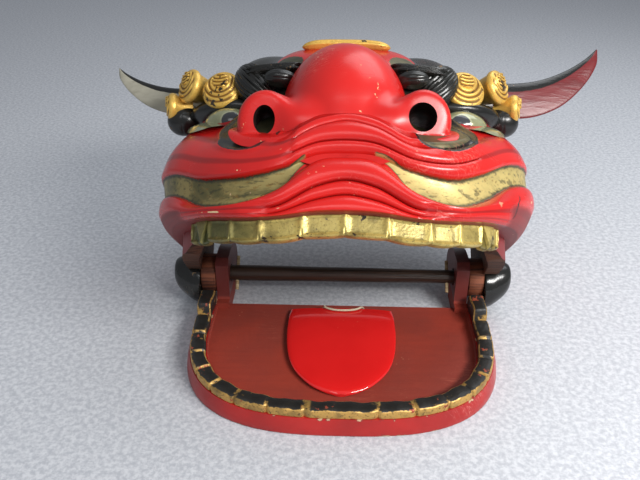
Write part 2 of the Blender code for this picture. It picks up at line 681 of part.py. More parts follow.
def tooth_stations(boundaries):
    """Places along a row and how much of a tooth stands there: none at a notch, all on a tooth."""
    places = []
    body = []
    for start, end in zip(boundaries[:-1], boundaries[1:]):
        for share, full in ((0.0, 0.0), (0.12, 1.0), (0.5, 1.0), (0.88, 1.0)):
            places.append(start + (end - start) * share)
            body.append(full)
    places.append(boundaries[-1])
    body.append(0.0)
    return np.array(places), np.array(body)


def upper_teeth_rings():
    """The gilded row under the lip: a bar whose front and lower edge are notched between the teeth."""
    half = np.array(UPPER_TOOTH_ANGLES)
    boundaries = np.concatenate([-half[::-1], half[1:]])
    places, body = tooth_stations(boundaries)
    rings = []
    for place, full in zip(places, body):
        angle = np.radians(place)
        top = float(lip_level(np.array(angle)))
        notch = TOOTH_NOTCH * (1 - full)
        low = top - UPPER_TOOTH_HEIGHT + 1.5 * notch
        base = float(skull_radius(np.array(angle), np.array(top)))
        front = base - UPPER_TOOTH_INSET - notch
        rear = base - UPPER_TOOTH_INSET - UPPER_TOOTH_THICKNESS
        middle = (top + low) / 2
        section = ((rear, low), (front - 0.0012, low), (front, low + 0.003), (front + 0.0002, middle),
                   (front, top), (rear, top))
        rings.append([head_point(radius * np.sin(angle), radius * np.cos(angle) - REAR_RIM, level)
                      for radius, level in section])
    return rings


upper_teeth = loft("upper_teeth", upper_teeth_rings(), head, GOLD)
cut(upper_teeth, seat)

# Rod, pins and side curls
rod_end = KNOB_INNER + ROD_SEAT_DEPTH
rod = loft("hinge_rod", wheel_rings(
    [(-rod_end, ROD_RADIUS_LEFT, 0.0), (rod_end, ROD_RADIUS_RIGHT, 0.0)], 0.0, 0.0, ROD_SIDES), head, WOOD)


def rod_radius(place):
    share = (place + rod_end) / (2 * rod_end)
    return ROD_RADIUS_LEFT + (ROD_RADIUS_RIGHT - ROD_RADIUS_LEFT) * share


def polygon_clear(radius, sides, clearance):
    """Radius of a polygonal hole whose flats clear a round of the given radius."""
    return (radius + clearance) / np.cos(np.pi / sides)


for word, side in (("left", -1), ("right", 1)):
    fit = polygon_clear(rod_radius(side * KNOB_INNER), ROD_SIDES, GAP)
    bore = loft("rod_seat_" + word, wheel_rings(
        [(side * (KNOB_INNER - OVERCUT), fit, 0.0), (side * (rod_end + GAP), fit, 0.0)],
        0.0, 0.0, ROD_SIDES), head, cutter=True)
    width = KNOB_OUTER - KNOB_INNER
    stations = [(side * (KNOB_INNER + section.out * width), section.size * KNOB_RADIUS,
                 (1 - section.size) * section.rise * KNOB_RADIUS) for section in KNOB_SECTIONS]
    knob = loft("knob_" + word, wheel_rings(stations, 0.0, -KNOB_DROP, KNOB_SIDES), rod_line, BLACK)
    cut(knob, bore)

    block_sides = (ARM_OUTER + 2 * GAP, KNOB_INNER - GAP)
    block = loft("hinge_block_" + word, wheel_rings(
        [(side * place, BLOCK_RADIUS, 0.0) for place in block_sides], 0.0, 0.0, BLOCK_SIDES), rod_line, WOOD)
    cut(block, bore)

    place = side * (ARM_INNER - PIN_OFFSET_FROM_ARM)
    turn = 2 * np.pi * (np.arange(8) + 0.5) / 8
    circle = np.stack([PIN_RADIUS * np.cos(turn), PIN_RADIUS * np.sin(turn), 0 * turn], axis=-1)
    reach = rod_radius(place) + PIN_REACH
    pin = loft("rod_pin_" + word, [circle + (place, 0.0, -reach), circle + (place, 0.0, reach)], head, WOOD)
    wide = circle * (1 + 2 * GAP / PIN_RADIUS)
    pin_bore = loft("pin_bore_" + word, [wide + (place, 0.0, -reach * 2), wide + (place, 0.0, reach * 2)],
                    head, cutter=True)
    cut(rod, pin_bore)


def jaw_outline(inset=0.0, rear=JAW_REAR, points=JAW_OUTLINE_POINTS):
    """Plan of the jaw from its left rear corner round the front to its right rear corner."""
    turn = np.radians(np.linspace(-90, 90, points - 2))
    power = 2 / JAW_EXPONENT
    side = (JAW_HALF_WIDTH - inset) * np.sign(np.sin(turn)) * np.abs(np.sin(turn)) ** power
    start = JAW_FRONT - JAW_ROUND_LENGTH
    forward = start + (JAW_ROUND_LENGTH - inset) * np.abs(np.cos(turn)) ** power
    side = np.concatenate([side[:1], side, side[-1:]])
    forward = np.concatenate([[rear], forward, [rear]])
    return side, forward


def jaw_ring(inset, level, rear=JAW_REAR):
    side, forward = jaw_outline(inset, rear)
    return head_point(side, forward, np.full(len(side), level))


jaw = loft("jaw", [jaw_ring(0.0005, 0.0), jaw_ring(0.0, 0.0015),
                   jaw_ring(JAW_WALL_LEAN, JAW_WALL_HEIGHT)], jaw_pivot, DULL_RED)
tray = loft("tray_cutter", [jaw_ring(JAW_WALL, JAW_FLOOR, -OVERCUT),
                            jaw_ring(JAW_WALL, JAW_WALL_HEIGHT + OVERCUT, -OVERCUT)],
            jaw_pivot, cutter=True)
cut(jaw, tray)


def arm_section():
    """Side outline of a jaw arm: a foot under the teeth, a post round the rod, a round back and a flat heel.

    The heel stands on the floor behind the rod, so the head's weight can't tip the jaw."""
    chamfer = ARM_FRONT * 0.35
    step = JAW_WALL_HEIGHT - GAP
    turn = np.linspace(90, 270, ARM_BACK_POINTS)
    middle = (ARM_TOP + ARM_LIFT) / 2
    back = [(ARM_BACK * np.cos(np.radians(t)), middle + (middle - ARM_LIFT) * np.sin(np.radians(t)))
            for t in turn[:-1]] + [(-ARM_HEEL, ARM_LIFT)]
    return [(JAW_REAR + ARM_FOOT, ARM_LIFT), (JAW_REAR + ARM_FOOT, step), (JAW_REAR, step),
            (ARM_FRONT, step + chamfer), (ARM_FRONT, ARM_TOP - chamfer),
            (ARM_FRONT - chamfer, ARM_TOP)] + back


for word, side in (("left", -1), ("right", 1)):
    section = arm_section()
    rings = [[head_point(side * place, forward, level) for forward, level in section]
             for place in (ARM_INNER, ARM_OUTER)]
    arm = loft("jaw_arm_" + word, rings, jaw_pivot, cutter=True, flat_ends=True)
    fuse(jaw, arm)
    hole = polygon_clear(rod_radius(side * ARM_INNER), ROD_SIDES, ROD_RUNNING_GAP)
    bore = loft("arm_bore_" + word, wheel_rings(
        [(side * (ARM_INNER - OVERCUT / 3), hole, 0.0), (side * (ARM_OUTER + OVERCUT / 3), hole, 0.0)],
        0.0, ROD_HEIGHT, ROD_SIDES), jaw_pivot, cutter=True)
    cut(jaw, bore)


def along_jaw(shares):
    """Points and outward directions on the wall's top edge, by share of its length from the left rear."""
    side, forward = jaw_outline(JAW_WALL_LEAN, JAW_REAR + TOOTH_START, 121)
    line = np.stack([side, forward], axis=-1)
    lengths = np.concatenate([[0], np.cumsum(np.linalg.norm(np.diff(line, axis=0), axis=1))])
    wanted = np.asarray(shares) * lengths[-1]
    points = np.stack([np.interp(wanted, lengths, line[:, column]) for column in (0, 1)], axis=-1)
    step = lengths[-1] * 0.004
    ahead = np.stack([np.interp(wanted + step, lengths, line[:, column]) for column in (0, 1)], axis=-1)
    behind = np.stack([np.interp(wanted - step, lengths, line[:, column]) for column in (0, 1)], axis=-1)
    direction = ahead - behind
    direction /= np.linalg.norm(direction, axis=1)[:, None]
    outward = np.stack([-direction[:, 1], direction[:, 0]], axis=-1)
    return points, outward


def lower_teeth_rings():
    """The row on the tray's wall: a low bar notched between the teeth."""
    half = np.array(LOWER_TOOTH_SHARES)
    boundaries = 0.5 + 0.5 * np.concatenate([-half[::-1], half[1:]])
    places, body = tooth_stations(boundaries)
    points, outward = along_jaw(places)
    rings = []
    for share, point, away, full in zip(places, points, outward, body):
        notch = TOOTH_NOTCH * (1 - full)
        low = JAW_WALL_HEIGHT + GAP
        last = np.clip((abs(2 * share - 1) - LOWER_TOOTH_SHARES[-2]) / 0.02, 0, 1)
        high = low + LOWER_TOOTH_HEIGHT - notch + LAST_TOOTH_RISE * last
        section = ((0.0006 + notch, low), (0.0006 + notch, high - 0.0015), (0.0021 + notch, high),
                   (LOWER_TOOTH_DEPTH - 0.0015, high), (LOWER_TOOTH_DEPTH, high - 0.0015),
                   (LOWER_TOOTH_DEPTH, low))
        rings.append([head_point(point[0] - away[0] * inset, point[1] - away[1] * inset, level)
                      for inset, level in section])
    return rings


lower_teeth = loft("lower_teeth", lower_teeth_rings(), jaw_pivot, BLACK)


def tongue_rings():
    """The tongue's sections: flat below, crowned above, with round edges."""
    turn = np.radians(np.linspace(0, 360, 14, endpoint=False))
    rings = []
    for section in TONGUE_SECTIONS:
        half_width = section.half_width * TONGUE_HALF_WIDTH
        thickness = section.thickness * TONGUE_THICKNESS
        across = half_width * np.sign(np.cos(turn)) * np.abs(np.cos(turn)) ** 0.6
        height = thickness * (0.5 + 0.5 * np.sign(np.sin(turn)) * np.abs(np.sin(turn)) ** 0.8)
        forward = TONGUE_REAR + section.along * TONGUE_LENGTH
        rings.append(head_point(across, np.full(14, forward),
                                JAW_FLOOR + GAP + section.lift * TONGUE_THICKNESS + height))
    return rings


tongue = loft("tongue", tongue_rings(), jaw_pivot, TONGUE_RED)

# The string that ties the tongue: a chosen route in the jaw's frame, side, forward and up
STRING_ROUTE = ((-0.0160, 0.0240, 0.0104), (-0.0155, 0.0270, 0.0125), (-0.0150, 0.0290, 0.0160),
                (-0.0135, 0.0330, 0.0172), (-0.0060, 0.0362, 0.0174), (0.0040, 0.0368, 0.0175),
                (0.0120, 0.0352, 0.0173), (0.0165, 0.0320, 0.0170), (0.0185, 0.0288, 0.0152),
                (0.0195, 0.0265, 0.0124), (0.0200, 0.0240, 0.0104))


def smooth_route(points, per_span):
    """A Catmull-Rom curve through the chosen points."""
    points = np.asarray(points, dtype=float)
    padded = np.vstack([2 * points[0] - points[1], points, 2 * points[-1] - points[-2]])
    result = []
    for a, b, c, d in zip(padded[:-3], padded[1:-2], padded[2:-1], padded[3:]):
        for t in np.arange(per_span) / per_span:
            result.append(0.5 * (2 * b + (c - a) * t + (2 * a - 5 * b + 4 * c - d) * t ** 2
                                 + (-a + 3 * b - 3 * c + d) * t ** 3))
    result.append(points[-1])
    return np.array(result)


def string_tube():
    """A free cord as a bevelled curve along its route."""
    route = smooth_route(STRING_ROUTE, 2)
    curve = bpy.data.curves.new("tongue_string", "CURVE")
    curve.dimensions = "3D"
    curve.bevel_depth = STRING_RADIUS
    curve.bevel_resolution = 2
    curve.use_fill_caps = True
    spline = curve.splines.new("POLY")
    spline.points.add(len(route) - 1)
    for point, (side, forward, up) in zip(spline.points, route):
        point.co = (side, -forward, up, 1.0)
    piece = bpy.data.objects.new("tongue_string", curve)
    bpy.context.collection.objects.link(piece)
    piece.parent = jaw_pivot
    curve.materials.append(STRING_WHITE)
    return piece


string_tube()
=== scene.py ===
# %% [markdown]
# A carved wooden lion head for a lion dance. The head and its flat lower jaw turn on one cross rod, and the
# head is shown tilted back with its mouth open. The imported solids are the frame: they carry the sizes, the
# hinge and the collision. This script dresses them with fine carved surfaces, lacquer, gilding and wear.
# Every surface is a formula on a grid of two parameters, so its detail can be as fine as the picture needs.

import bmesh
import bpy
import numpy as np
from mathutils import Matrix, Vector


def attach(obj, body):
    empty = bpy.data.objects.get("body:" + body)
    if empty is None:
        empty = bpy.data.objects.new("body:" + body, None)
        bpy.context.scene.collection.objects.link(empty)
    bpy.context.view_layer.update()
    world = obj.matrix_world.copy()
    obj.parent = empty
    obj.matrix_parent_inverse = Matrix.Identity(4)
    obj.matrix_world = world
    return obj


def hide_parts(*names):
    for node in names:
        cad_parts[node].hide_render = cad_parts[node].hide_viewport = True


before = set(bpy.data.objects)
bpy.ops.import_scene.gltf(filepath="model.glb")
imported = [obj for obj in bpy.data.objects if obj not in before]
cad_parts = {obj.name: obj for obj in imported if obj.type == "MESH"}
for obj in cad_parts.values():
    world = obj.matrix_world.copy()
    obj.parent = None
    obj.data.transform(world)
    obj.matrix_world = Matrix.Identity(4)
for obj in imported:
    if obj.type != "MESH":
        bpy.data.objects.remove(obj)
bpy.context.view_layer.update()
HEAD = "head"
JAW = "jaw"

# %% [markdown]
# The head is described in its own frame, as it would be with its mouth closed: side, forward and up from
# the rod. Turning that frame about the rod by the angle of the open mouth puts every carved form where the
# solids are, and one function does it for all of them.

# %% Two places to build in: the tilted head and the level jaw
ROD_BACK = 0.090
ROD_HEIGHT = 0.031
TILT = np.radians(42.0)


def head_world(side, forward, up):
    """Head frame to world: a turn by TILT about the rod's line, then the rod's place."""
    side, forward, up = np.broadcast_arrays(side, forward, up)
    back = ROD_BACK - forward * np.cos(TILT) + up * np.sin(TILT)
    height = ROD_HEIGHT + forward * np.sin(TILT) + up * np.cos(TILT)
    return np.stack([side, back, height], axis=-1)


def place_in_head(points):
    """Points of the head frame, with side, forward and up on their last axis, in the world."""
    return head_world(*np.moveaxis(points, -1, 0))


def jaw_world(side, forward, up):
    """Jaw frame to world: forward is -Y from the rod, and up is measured from the floor."""
    side, forward, up = np.broadcast_arrays(side, forward, up)
    return np.stack([side, ROD_BACK - forward, up], axis=-1)


# %% [markdown]
# The camera comes first, because every later choice is judged through it. It looks down by 30 degrees from
# in front, with a lens that frames the object as the photograph does.

# %% Camera
IMAGE_WIDTH = 640
FOCAL_PIXELS = 700.0
SENSOR = 36.0
LOOK_DOWN = np.radians(30.0)
LOOK_ASIDE = np.radians(1.5)
ROLL = np.radians(0.3)
CAMERA_PLACE = (-0.006, -0.450, 0.379)
NEAREST = 0.02

back_axis = np.array([np.sin(LOOK_ASIDE) * np.cos(LOOK_DOWN), -np.cos(LOOK_ASIDE) * np.cos(LOOK_DOWN),
                      np.sin(LOOK_DOWN)])
level_right = np.array([np.cos(LOOK_ASIDE), np.sin(LOOK_ASIDE), 0.0])
level_up = np.cross(back_axis, level_right)
right_axis = np.cos(ROLL) * level_right + np.sin(ROLL) * level_up
up_axis = -np.sin(ROLL) * level_right + np.cos(ROLL) * level_up
camera_data = bpy.data.cameras.new("camera")
camera_data.sensor_width = SENSOR
camera_data.lens = FOCAL_PIXELS / IMAGE_WIDTH * SENSOR
camera_data.clip_start = NEAREST
camera = bpy.data.objects.new("camera", camera_data)
bpy.context.collection.objects.link(camera)
axes = np.stack([right_axis, up_axis, back_axis], axis=-1)
camera.matrix_world = Matrix.Translation(CAMERA_PLACE) @ Matrix(axes.tolist()).to_4x4()
bpy.context.scene.camera = camera

# %% [markdown]
# The photograph has one strong light in front on the right, which leaves long white streaks along every ridge
# of that side. A weak light in front on the left and a broad one from behind keep the rest readable. Lamps
# with some size give lacquer its soft-edged glare.

# %% World and lights
AIM = Vector((0.0, 0.02, 0.10))
SKY_COLOUR = (0.80, 0.84, 0.90, 1.0)
SKY_STRENGTH = 0.40
LIGHTS = (
    ("key_light", (0.56, -0.50, 0.66), (0.56, 0.16), 11.0, (1.0, 0.985, 0.96)),
    ("front_light", (-0.10, -0.90, 1.20), (0.70, 0.50), 2.6, (0.97, 0.99, 1.0)),
    ("back_light", (0.45, 0.60, 1.00), (0.80, 0.80), 5.0, (0.95, 0.98, 1.0)),
)


def area_light(name, place, size, power, colour):
    """A rectangular light that faces the object: its place and size in metres, and its power in watts."""
    data = bpy.data.lights.new(name, "AREA")
    data.shape = "RECTANGLE"
    data.size, data.size_y = size
    data.energy = power
    data.color = colour
    light = bpy.data.objects.new(name, data)
    bpy.context.collection.objects.link(light)
    light.location = place
    light.rotation_euler = (AIM - Vector(place)).to_track_quat("-Z", "Y").to_euler()


for light in LIGHTS:
    area_light(*light)

world = bpy.data.worlds.new("studio")
bpy.context.scene.world = world
world.use_nodes = True
sky = world.node_tree.nodes["Background"].inputs
sky["Color"].default_value = SKY_COLOUR
sky["Strength"].default_value = SKY_STRENGTH
bpy.context.scene.view_settings.view_transform = "Standard"

# %% [markdown]
# Materials are made of nodes. A few short helpers keep their trees readable: one adds a node, and the rest
# name what the maths does, such as a soft step between two values or a mix of two colours.

# %% Node helpers
def add(tree, kind, inputs=None, **settings):
    """One node with its settings and inputs. An input is a value or another node's socket."""
    node = tree.nodes.new(kind)
    for name, value in settings.items():
        setattr(node, name, value)
    for key, value in (inputs or {}).items():
        if isinstance(value, bpy.types.NodeSocket):
            tree.links.new(value, node.inputs[key])
        else:
            node.inputs[key].default_value = value
    return node


def calc(tree, operation, first, second=0.0):
    return add(tree, "ShaderNodeMath", {0: first, 1: second}, operation=operation).outputs[0]


def both(tree, first, second):
    return calc(tree, "MULTIPLY", first, second)


def either(tree, first, second):
    return calc(tree, "MAXIMUM", first, second)


def total(tree, first, *rest):
    """The sum of several values."""
    for value in rest:
        first = calc(tree, "ADD", first, value)
    return first


def step(tree, value, low, high):
    """0 below low, 1 above high and smooth between. With low above high it falls instead."""
    return add(tree, "ShaderNodeMapRange", {"Value": value, "From Min": low, "From Max": high},
               interpolation_type="SMOOTHSTEP").outputs[0]


def blend_colour(tree, factor, first, second):
    node = add(tree, "ShaderNodeMix", {"Factor": factor}, data_type="RGBA")
    for socket, colour in ((node.inputs[6], first), (node.inputs[7], second)):
        if isinstance(colour, bpy.types.NodeSocket):
            tree.links.new(colour, socket)
        else:
            socket.default_value = (*colour, 1.0)
    return node.outputs[2]


def noise(tree, place, scale, detail=3.0, roughness=0.55, distortion=0.0):
    return add(tree, "ShaderNodeTexNoise", {"Vector": place, "Scale": scale, "Detail": detail,
                                            "Roughness": roughness, "Distortion": distortion}).outputs[0]


def wander(tree, place, scale, amount, detail=3.0):
    """Noise about nought, so that it pushes an edge of paint both ways."""
    return both(tree, calc(tree, "SUBTRACT", noise(tree, place, scale, detail), 0.5), amount)


def mapped(tree, place, scale=(1.0, 1.0, 1.0), turn=(0.0, 0.0, 0.0)):
    return add(tree, "ShaderNodeMapping", {"Vector": place, "Scale": scale, "Rotation": turn}).outputs[0]


def object_place(tree):
    return add(tree, "ShaderNodeTexCoord").outputs["Object"]


def split_vector(tree, vector):
    """The X, Y and Z of a vector."""
    return add(tree, "ShaderNodeSeparateXYZ", {0: vector}).outputs


def paint_uv(tree):
    """The two coordinates that a piece's own formula gave to its points."""
    return split_vector(tree, add(tree, "ShaderNodeUVMap", uv_map="paint").outputs[0])


def srgb(red, green, blue):
    """A colour given as 0 to 255 in sRGB, turned to the linear values that shaders use."""
    value = np.array([red, green, blue]) / 255.0
    return tuple(float(v) for v in np.where(value <= 0.04045, value / 12.92, ((value + 0.055) / 1.055) ** 2.4))


# %% [markdown]
# Wear turns up on every finish: fine scratches, chips where an edge gets knocked, tarnish that creeps over
# gilding, and the grain of bare wood. Each is a node group made once, with its scale and amount as inputs,
# and each material places it with its own values.

# %% Node groups for wear, tarnish and grain
def start_group(name, inputs, outputs):
    """A node group with float inputs beside a Place vector, and float outputs."""
    tree = bpy.data.node_groups.new(name, "ShaderNodeTree")
    tree.interface.new_socket("Place", in_out="INPUT", socket_type="NodeSocketVector")
    for label, value in inputs.items():
        socket = tree.interface.new_socket(label, in_out="INPUT", socket_type="NodeSocketFloat")
        socket.default_value = value
    for label in outputs:
        tree.interface.new_socket(label, in_out="OUTPUT", socket_type="NodeSocketFloat")
    return tree, tree.nodes.new("NodeGroupInput").outputs, tree.nodes.new("NodeGroupOutput").inputs


def make_scuffs():
    """Thin scratches from stretched noise, in two directions, broken up by a coarser noise."""
    tree, given, out = start_group("scuffs", {"Scale": 60.0, "Amount": 0.5}, ["Scratches", "Specks"])
    marks = []
    for turn in (0.4, 1.9):
        place = mapped(tree, given["Place"], (1.0, 9.0, 1.0), (0.3, turn, turn))
        fine = noise(tree, place, given["Scale"], 2.0, 0.5, 0.2)
        ridge = calc(tree, "ABSOLUTE", calc(tree, "SUBTRACT", fine, 0.5))
        marks.append(step(tree, ridge, 0.012, 0.003))
    patchy = step(tree, noise(tree, given["Place"], 14.0), 0.55, 0.70)
    lines = both(tree, both(tree, either(tree, *marks), patchy), given["Amount"])
    specks = add(tree, "ShaderNodeTexVoronoi", {"Vector": given["Place"], "Scale": 190.0}).outputs["Distance"]
    dots = both(tree, step(tree, specks, 0.16, 0.10), step(tree, noise(tree, given["Place"], 30.0), 0.60, 0.68))
    tree.links.new(lines, out["Scratches"])
    tree.links.new(both(tree, dots, given["Amount"]), out["Specks"])
    return tree


def make_chips():
    """Chips: noise past a threshold that drops where the Edge input is high."""
    tree, given, out = start_group("chips", {"Scale": 90.0, "Edge": 0.0, "Amount": 0.5}, ["Mask", "Rim"])
    coarse = noise(tree, given["Place"], calc(tree, "MULTIPLY", given["Scale"], 0.3), 2.0)
    fine = noise(tree, given["Place"], given["Scale"], 4.0, 0.6, 0.4)
    value = calc(tree, "ADD", both(tree, fine, 0.6), both(tree, coarse, 0.4))
    value = calc(tree, "ADD", value, both(tree, both(tree, given["Edge"], given["Amount"]), 0.25))
    tree.links.new(step(tree, value, 0.685, 0.70), out["Mask"])
    tree.links.new(step(tree, value, 0.655, 0.685), out["Rim"])
    return tree


def make_tarnish():
    """Tarnish: cloudy patches and a fine speckle."""
    tree, given, out = start_group("tarnish", {"Scale": 40.0, "Amount": 0.5}, ["Cloud", "Speckle"])
    cloud = noise(tree, given["Place"], given["Scale"], 5.0, 0.6, 0.5)
    tree.links.new(both(tree, step(tree, cloud, 0.42, 0.66), given["Amount"]), out["Cloud"])
    fine = noise(tree, given["Place"], calc(tree, "MULTIPLY", given["Scale"], 6.0), 3.0, 0.7)
    tree.links.new(both(tree, step(tree, fine, 0.56, 0.66), given["Amount"]), out["Speckle"])
    return tree


def make_grain():
    """Wood grain along X: noise stretched along the fibres."""
    tree, given, out = start_group("grain", {"Scale": 200.0, "Stretch": 0.06}, ["Mask"])
    stretch = add(tree, "ShaderNodeCombineXYZ", {"X": given["Stretch"], "Y": 1.0, "Z": 1.0}).outputs[0]
    place = add(tree, "ShaderNodeVectorMath", {0: given["Place"], 1: stretch}, operation="MULTIPLY").outputs[0]
    fibres = noise(tree, place, given["Scale"], 4.0, 0.6, 0.3)
    tree.links.new(step(tree, fibres, 0.38, 0.66), out["Mask"])
    return tree


SCUFFS = make_scuffs()
CHIPS = make_chips()
TARNISH = make_tarnish()
GRAIN = make_grain()


def use_group(tree, group, place, **values):
    """Places a node group and returns its outputs by name."""
    node = add(tree, "ShaderNodeGroup", node_tree=group)
    tree.links.new(place, node.inputs["Place"])
    for label, value in values.items():
        if isinstance(value, bpy.types.NodeSocket):
            tree.links.new(value, node.inputs[label])
        else:
            node.inputs[label].default_value = value
    return node.outputs


COAT_ROUGHNESS = 0.06
BUMP_DISTANCE = 0.001


def start_material(name):
    material = bpy.data.materials.new(name)
    material.use_nodes = True
    return material, material.node_tree, material.node_tree.nodes["Principled BSDF"]


def finish_material(tree, shader, colour, roughness, metallic=0.0, height=None, bump=0.3, coat=0.0):
    """Feeds the shader's sockets. Values are set on them, and sockets are linked to them."""
    for key, value in (("Base Color", colour), ("Roughness", roughness), ("Metallic", metallic),
                       ("Coat Weight", coat)):
        if isinstance(value, bpy.types.NodeSocket):
            tree.links.new(value, shader.inputs[key])
        elif key == "Base Color":
            shader.inputs[key].default_value = (*value, 1.0)
        else:
            shader.inputs[key].default_value = value
    shader.inputs["Coat Roughness"].default_value = COAT_ROUGHNESS
    if height is not None:
        node = add(tree, "ShaderNodeBump", {"Height": height, "Strength": bump, "Distance": BUMP_DISTANCE})
        tree.links.new(node.outputs[0], shader.inputs["Normal"])


# %% [markdown]
# The floor is a plain pale sheet. A faint mottle keeps it from looking like empty space without drawing
# the eye from the lacquer.

# %% Floor
FLOOR_REACH = 3.0
FLOOR_GRAIN = 240.0


def make_floor_material():
    material, tree, shader = start_material("pale_floor")
    place = object_place(tree)
    mottle = step(tree, noise(tree, place, FLOOR_GRAIN, 4.0, 0.7), 0.35, 0.65)
    colour = blend_colour(tree, mottle, srgb(176, 179, 186), srgb(205, 207, 212))
    finish_material(tree, shader, colour, 0.9, height=mottle, bump=0.15)
    return material


floor_mesh = bpy.data.meshes.new("floor")
corners = [(-FLOOR_REACH, -FLOOR_REACH, 0.0), (FLOOR_REACH, -FLOOR_REACH, 0.0),
           (FLOOR_REACH, FLOOR_REACH, 0.0), (-FLOOR_REACH, FLOOR_REACH, 0.0)]
floor_mesh.from_pydata(corners, [], [(0, 1, 2, 3)])
floor_mesh.materials.append(make_floor_material())
floor = bpy.data.objects.new("floor", floor_mesh)
bpy.context.collection.objects.link(floor)

# %% [markdown]
# All carved pieces are grids. One helper makes the quads of a grid, a second turns points and quads into an
# object, and it merges the doubled points at seams and poles and turns every face outwards.

# %% Grid helpers
SHARP_ANGLE = np.radians(48.0)
CARVED_SHARP = np.radians(40.0)
ROUND_SHARP = np.radians(60.0)
MERGE = 2e-6
SIDES = (("left", -1), ("right", 1))


def ease(value, low, high):
    """0 below low, 1 above high, and smooth between."""
    share = np.clip((value - low) / (high - low), 0, 1)
    return share * share * (3 - 2 * share)


def hermite(t, low, high, slope_low, slope_high):
    """The cubic from low to high that starts and ends with the slopes given, for t from 0 to 1."""
    return ((2 * t ** 3 - 3 * t ** 2 + 1) * low + (t ** 3 - 2 * t ** 2 + t) * slope_low
            + (3 * t ** 2 - 2 * t ** 3) * high + (t ** 3 - t ** 2) * slope_high)


def vectors(*parts):
    """Arrays of coordinates, spread to one shape, as an array of vectors."""
    return np.stack(np.broadcast_arrays(*parts), axis=-1)


def basis(direction):
    """A unit vector along direction, a level one across it, and the upward one across both."""
    axis = np.array(direction, dtype=float)
    axis = axis / np.linalg.norm(axis)
    across = np.cross(axis, (0.0, 0.0, 1.0))
    across = across / np.linalg.norm(across)
    return axis, across, np.cross(across, axis)


def grid_quads(rows, columns, wrap=False, start=0):
    """Quads between neighbouring rows and columns; wrap joins the last column to the first."""
    row = np.arange(rows - 1)[:, None]
    column = np.arange(columns if wrap else columns - 1)[None, :]
    here = row * columns + column
    beside = row * columns + (column + 1) % columns
    return np.stack([here, beside, beside + columns, here + columns], axis=-1).reshape(-1, 4) + start


def make_piece(name, points, quads, materials, uv=None, slots=None, sharp=SHARP_ANGLE):
    """A mesh object from points (n, 3), quads (m, 4), a UV per point and a material slot per quad."""
    mesh = bpy.data.meshes.new(name)
    mesh.from_pydata(points.tolist(), [], quads.tolist())
    if uv is not None:
        layer = mesh.uv_layers.new(name="paint")
        corner = np.empty(len(mesh.loops), dtype=np.int64)
        mesh.loops.foreach_get("vertex_index", corner)
        layer.data.foreach_set("uv", uv[corner].astype(np.float32).ravel())
    if slots is not None:
        mesh.polygons.foreach_set("material_index", slots.astype(np.int32))
    work = bmesh.new()
    work.from_mesh(mesh)
    bmesh.ops.remove_doubles(work, verts=work.verts, dist=MERGE)
    bmesh.ops.dissolve_degenerate(work, edges=work.edges, dist=MERGE)
    bmesh.ops.recalc_face_normals(work, faces=work.faces)
    work.to_mesh(mesh)
    work.free()
    mesh.shade_smooth()
    mesh.set_sharp_from_angle(angle=sharp)
    for material in materials:
        mesh.materials.append(material)
    piece = bpy.data.objects.new(name, mesh)
    bpy.context.collection.objects.link(piece)
    return piece


def closed_grid(name, points, materials, uv=None, sharp=SHARP_ANGLE, slots=None):
    """A surface whose columns wrap round and whose first and last rows each close at their middle."""
    rows, columns = points.shape[:2]
    first = np.repeat(points[:1].mean(axis=1, keepdims=True), columns, axis=1)
    last = np.repeat(points[-1:].mean(axis=1, keepdims=True), columns, axis=1)
    points = np.concatenate([first, points, last])
    if uv is not None:
        uv = np.concatenate([uv[:1], uv, uv[-1:]]).reshape(-1, 2)
    quads = grid_quads(rows + 2, columns, wrap=True)
    return make_piece(name, points.reshape(-1, 3), quads, materials, uv, slots, sharp)


def join_pieces(name, pieces):
    """Several meshes as one object, each keeping its own faces and materials."""
    with bpy.context.temp_override(active_object=pieces[0], selected_editable_objects=pieces):
        bpy.ops.object.join()
    pieces[0].name = name
    return pieces[0]


def carve(piece, cutter, operation="DIFFERENCE"):
    """Applies a Boolean with a helper mesh and removes the helper."""
    modifier = piece.modifiers.new("carve", "BOOLEAN")
    modifier.operation = operation
    modifier.material_mode = "TRANSFER"
    modifier.object = cutter
    evaluated = piece.evaluated_get(bpy.context.evaluated_depsgraph_get())
    mesh = bpy.data.meshes.new_from_object(evaluated)
    piece.modifiers.clear()
    piece.data = mesh
    bpy.data.objects.remove(cutter, do_unlink=True)


def dress(piece, body, *nodes, slot=None):
    """Rides a finished piece on its body and lets it stand for the named solids."""
    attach(piece, body)
    if nodes:
        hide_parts(*nodes)
    piece.data.calc_loop_triangles()
    print(piece.name, len(piece.data.loop_triangles), "triangles")


# %% [markdown]
# The skull is one surface round the back rim's middle: its plan is a superellipse, drawn in towards the
# crown by a second one. The muzzle's folds are rolls between creases. Each crease is a row of the table,
# its height and stand-out are given at a few stations round the head, and a smooth curve joins them. A
# table keeps every fold adjustable by hand, which a sculpted mesh would not.

# %% The skull's formula and the table of folds
HALF_WIDTH = 0.146
LENGTH = 0.226
HEIGHT = 0.212
REAR_RIM = 0.046
PLAN_EXPONENT = 3.0
FRONT_EXPONENT = 2.4
SIDE_EXPONENT = 3.6
FOLD_ZONE = 0.088
FOLD_DEPTH = 0.008
GUM_FRONT = 0.016
GUM_SIDE = 0.008
SHELL_WALL = 0.011
SHELL_WALL_FRONT = 0.010
EYE_CENTRE = (0.0956, 0.090, 0.1069)
EYE_RADII = (0.0225, 0.0189, 0.0144)
RIGHT_SHIFT = (-0.0050, 0.0, 0.0025)
BOXY_FROM, BOXY_TO = 30.0, 48.0
CHEEK_SWELL, CHEEK_TURN, CHEEK_TURN_SPREAD = 0.0155, 46.0, 17.0
CHEEK_LEVEL, CHEEK_LEVEL_SPREAD = 0.060, 0.040
STEP_BACK, STEP_HEIGHT, STEP_FADES_FROM = 0.026, 0.024, 0.135
STEP_SIDE_TURN = 55.0
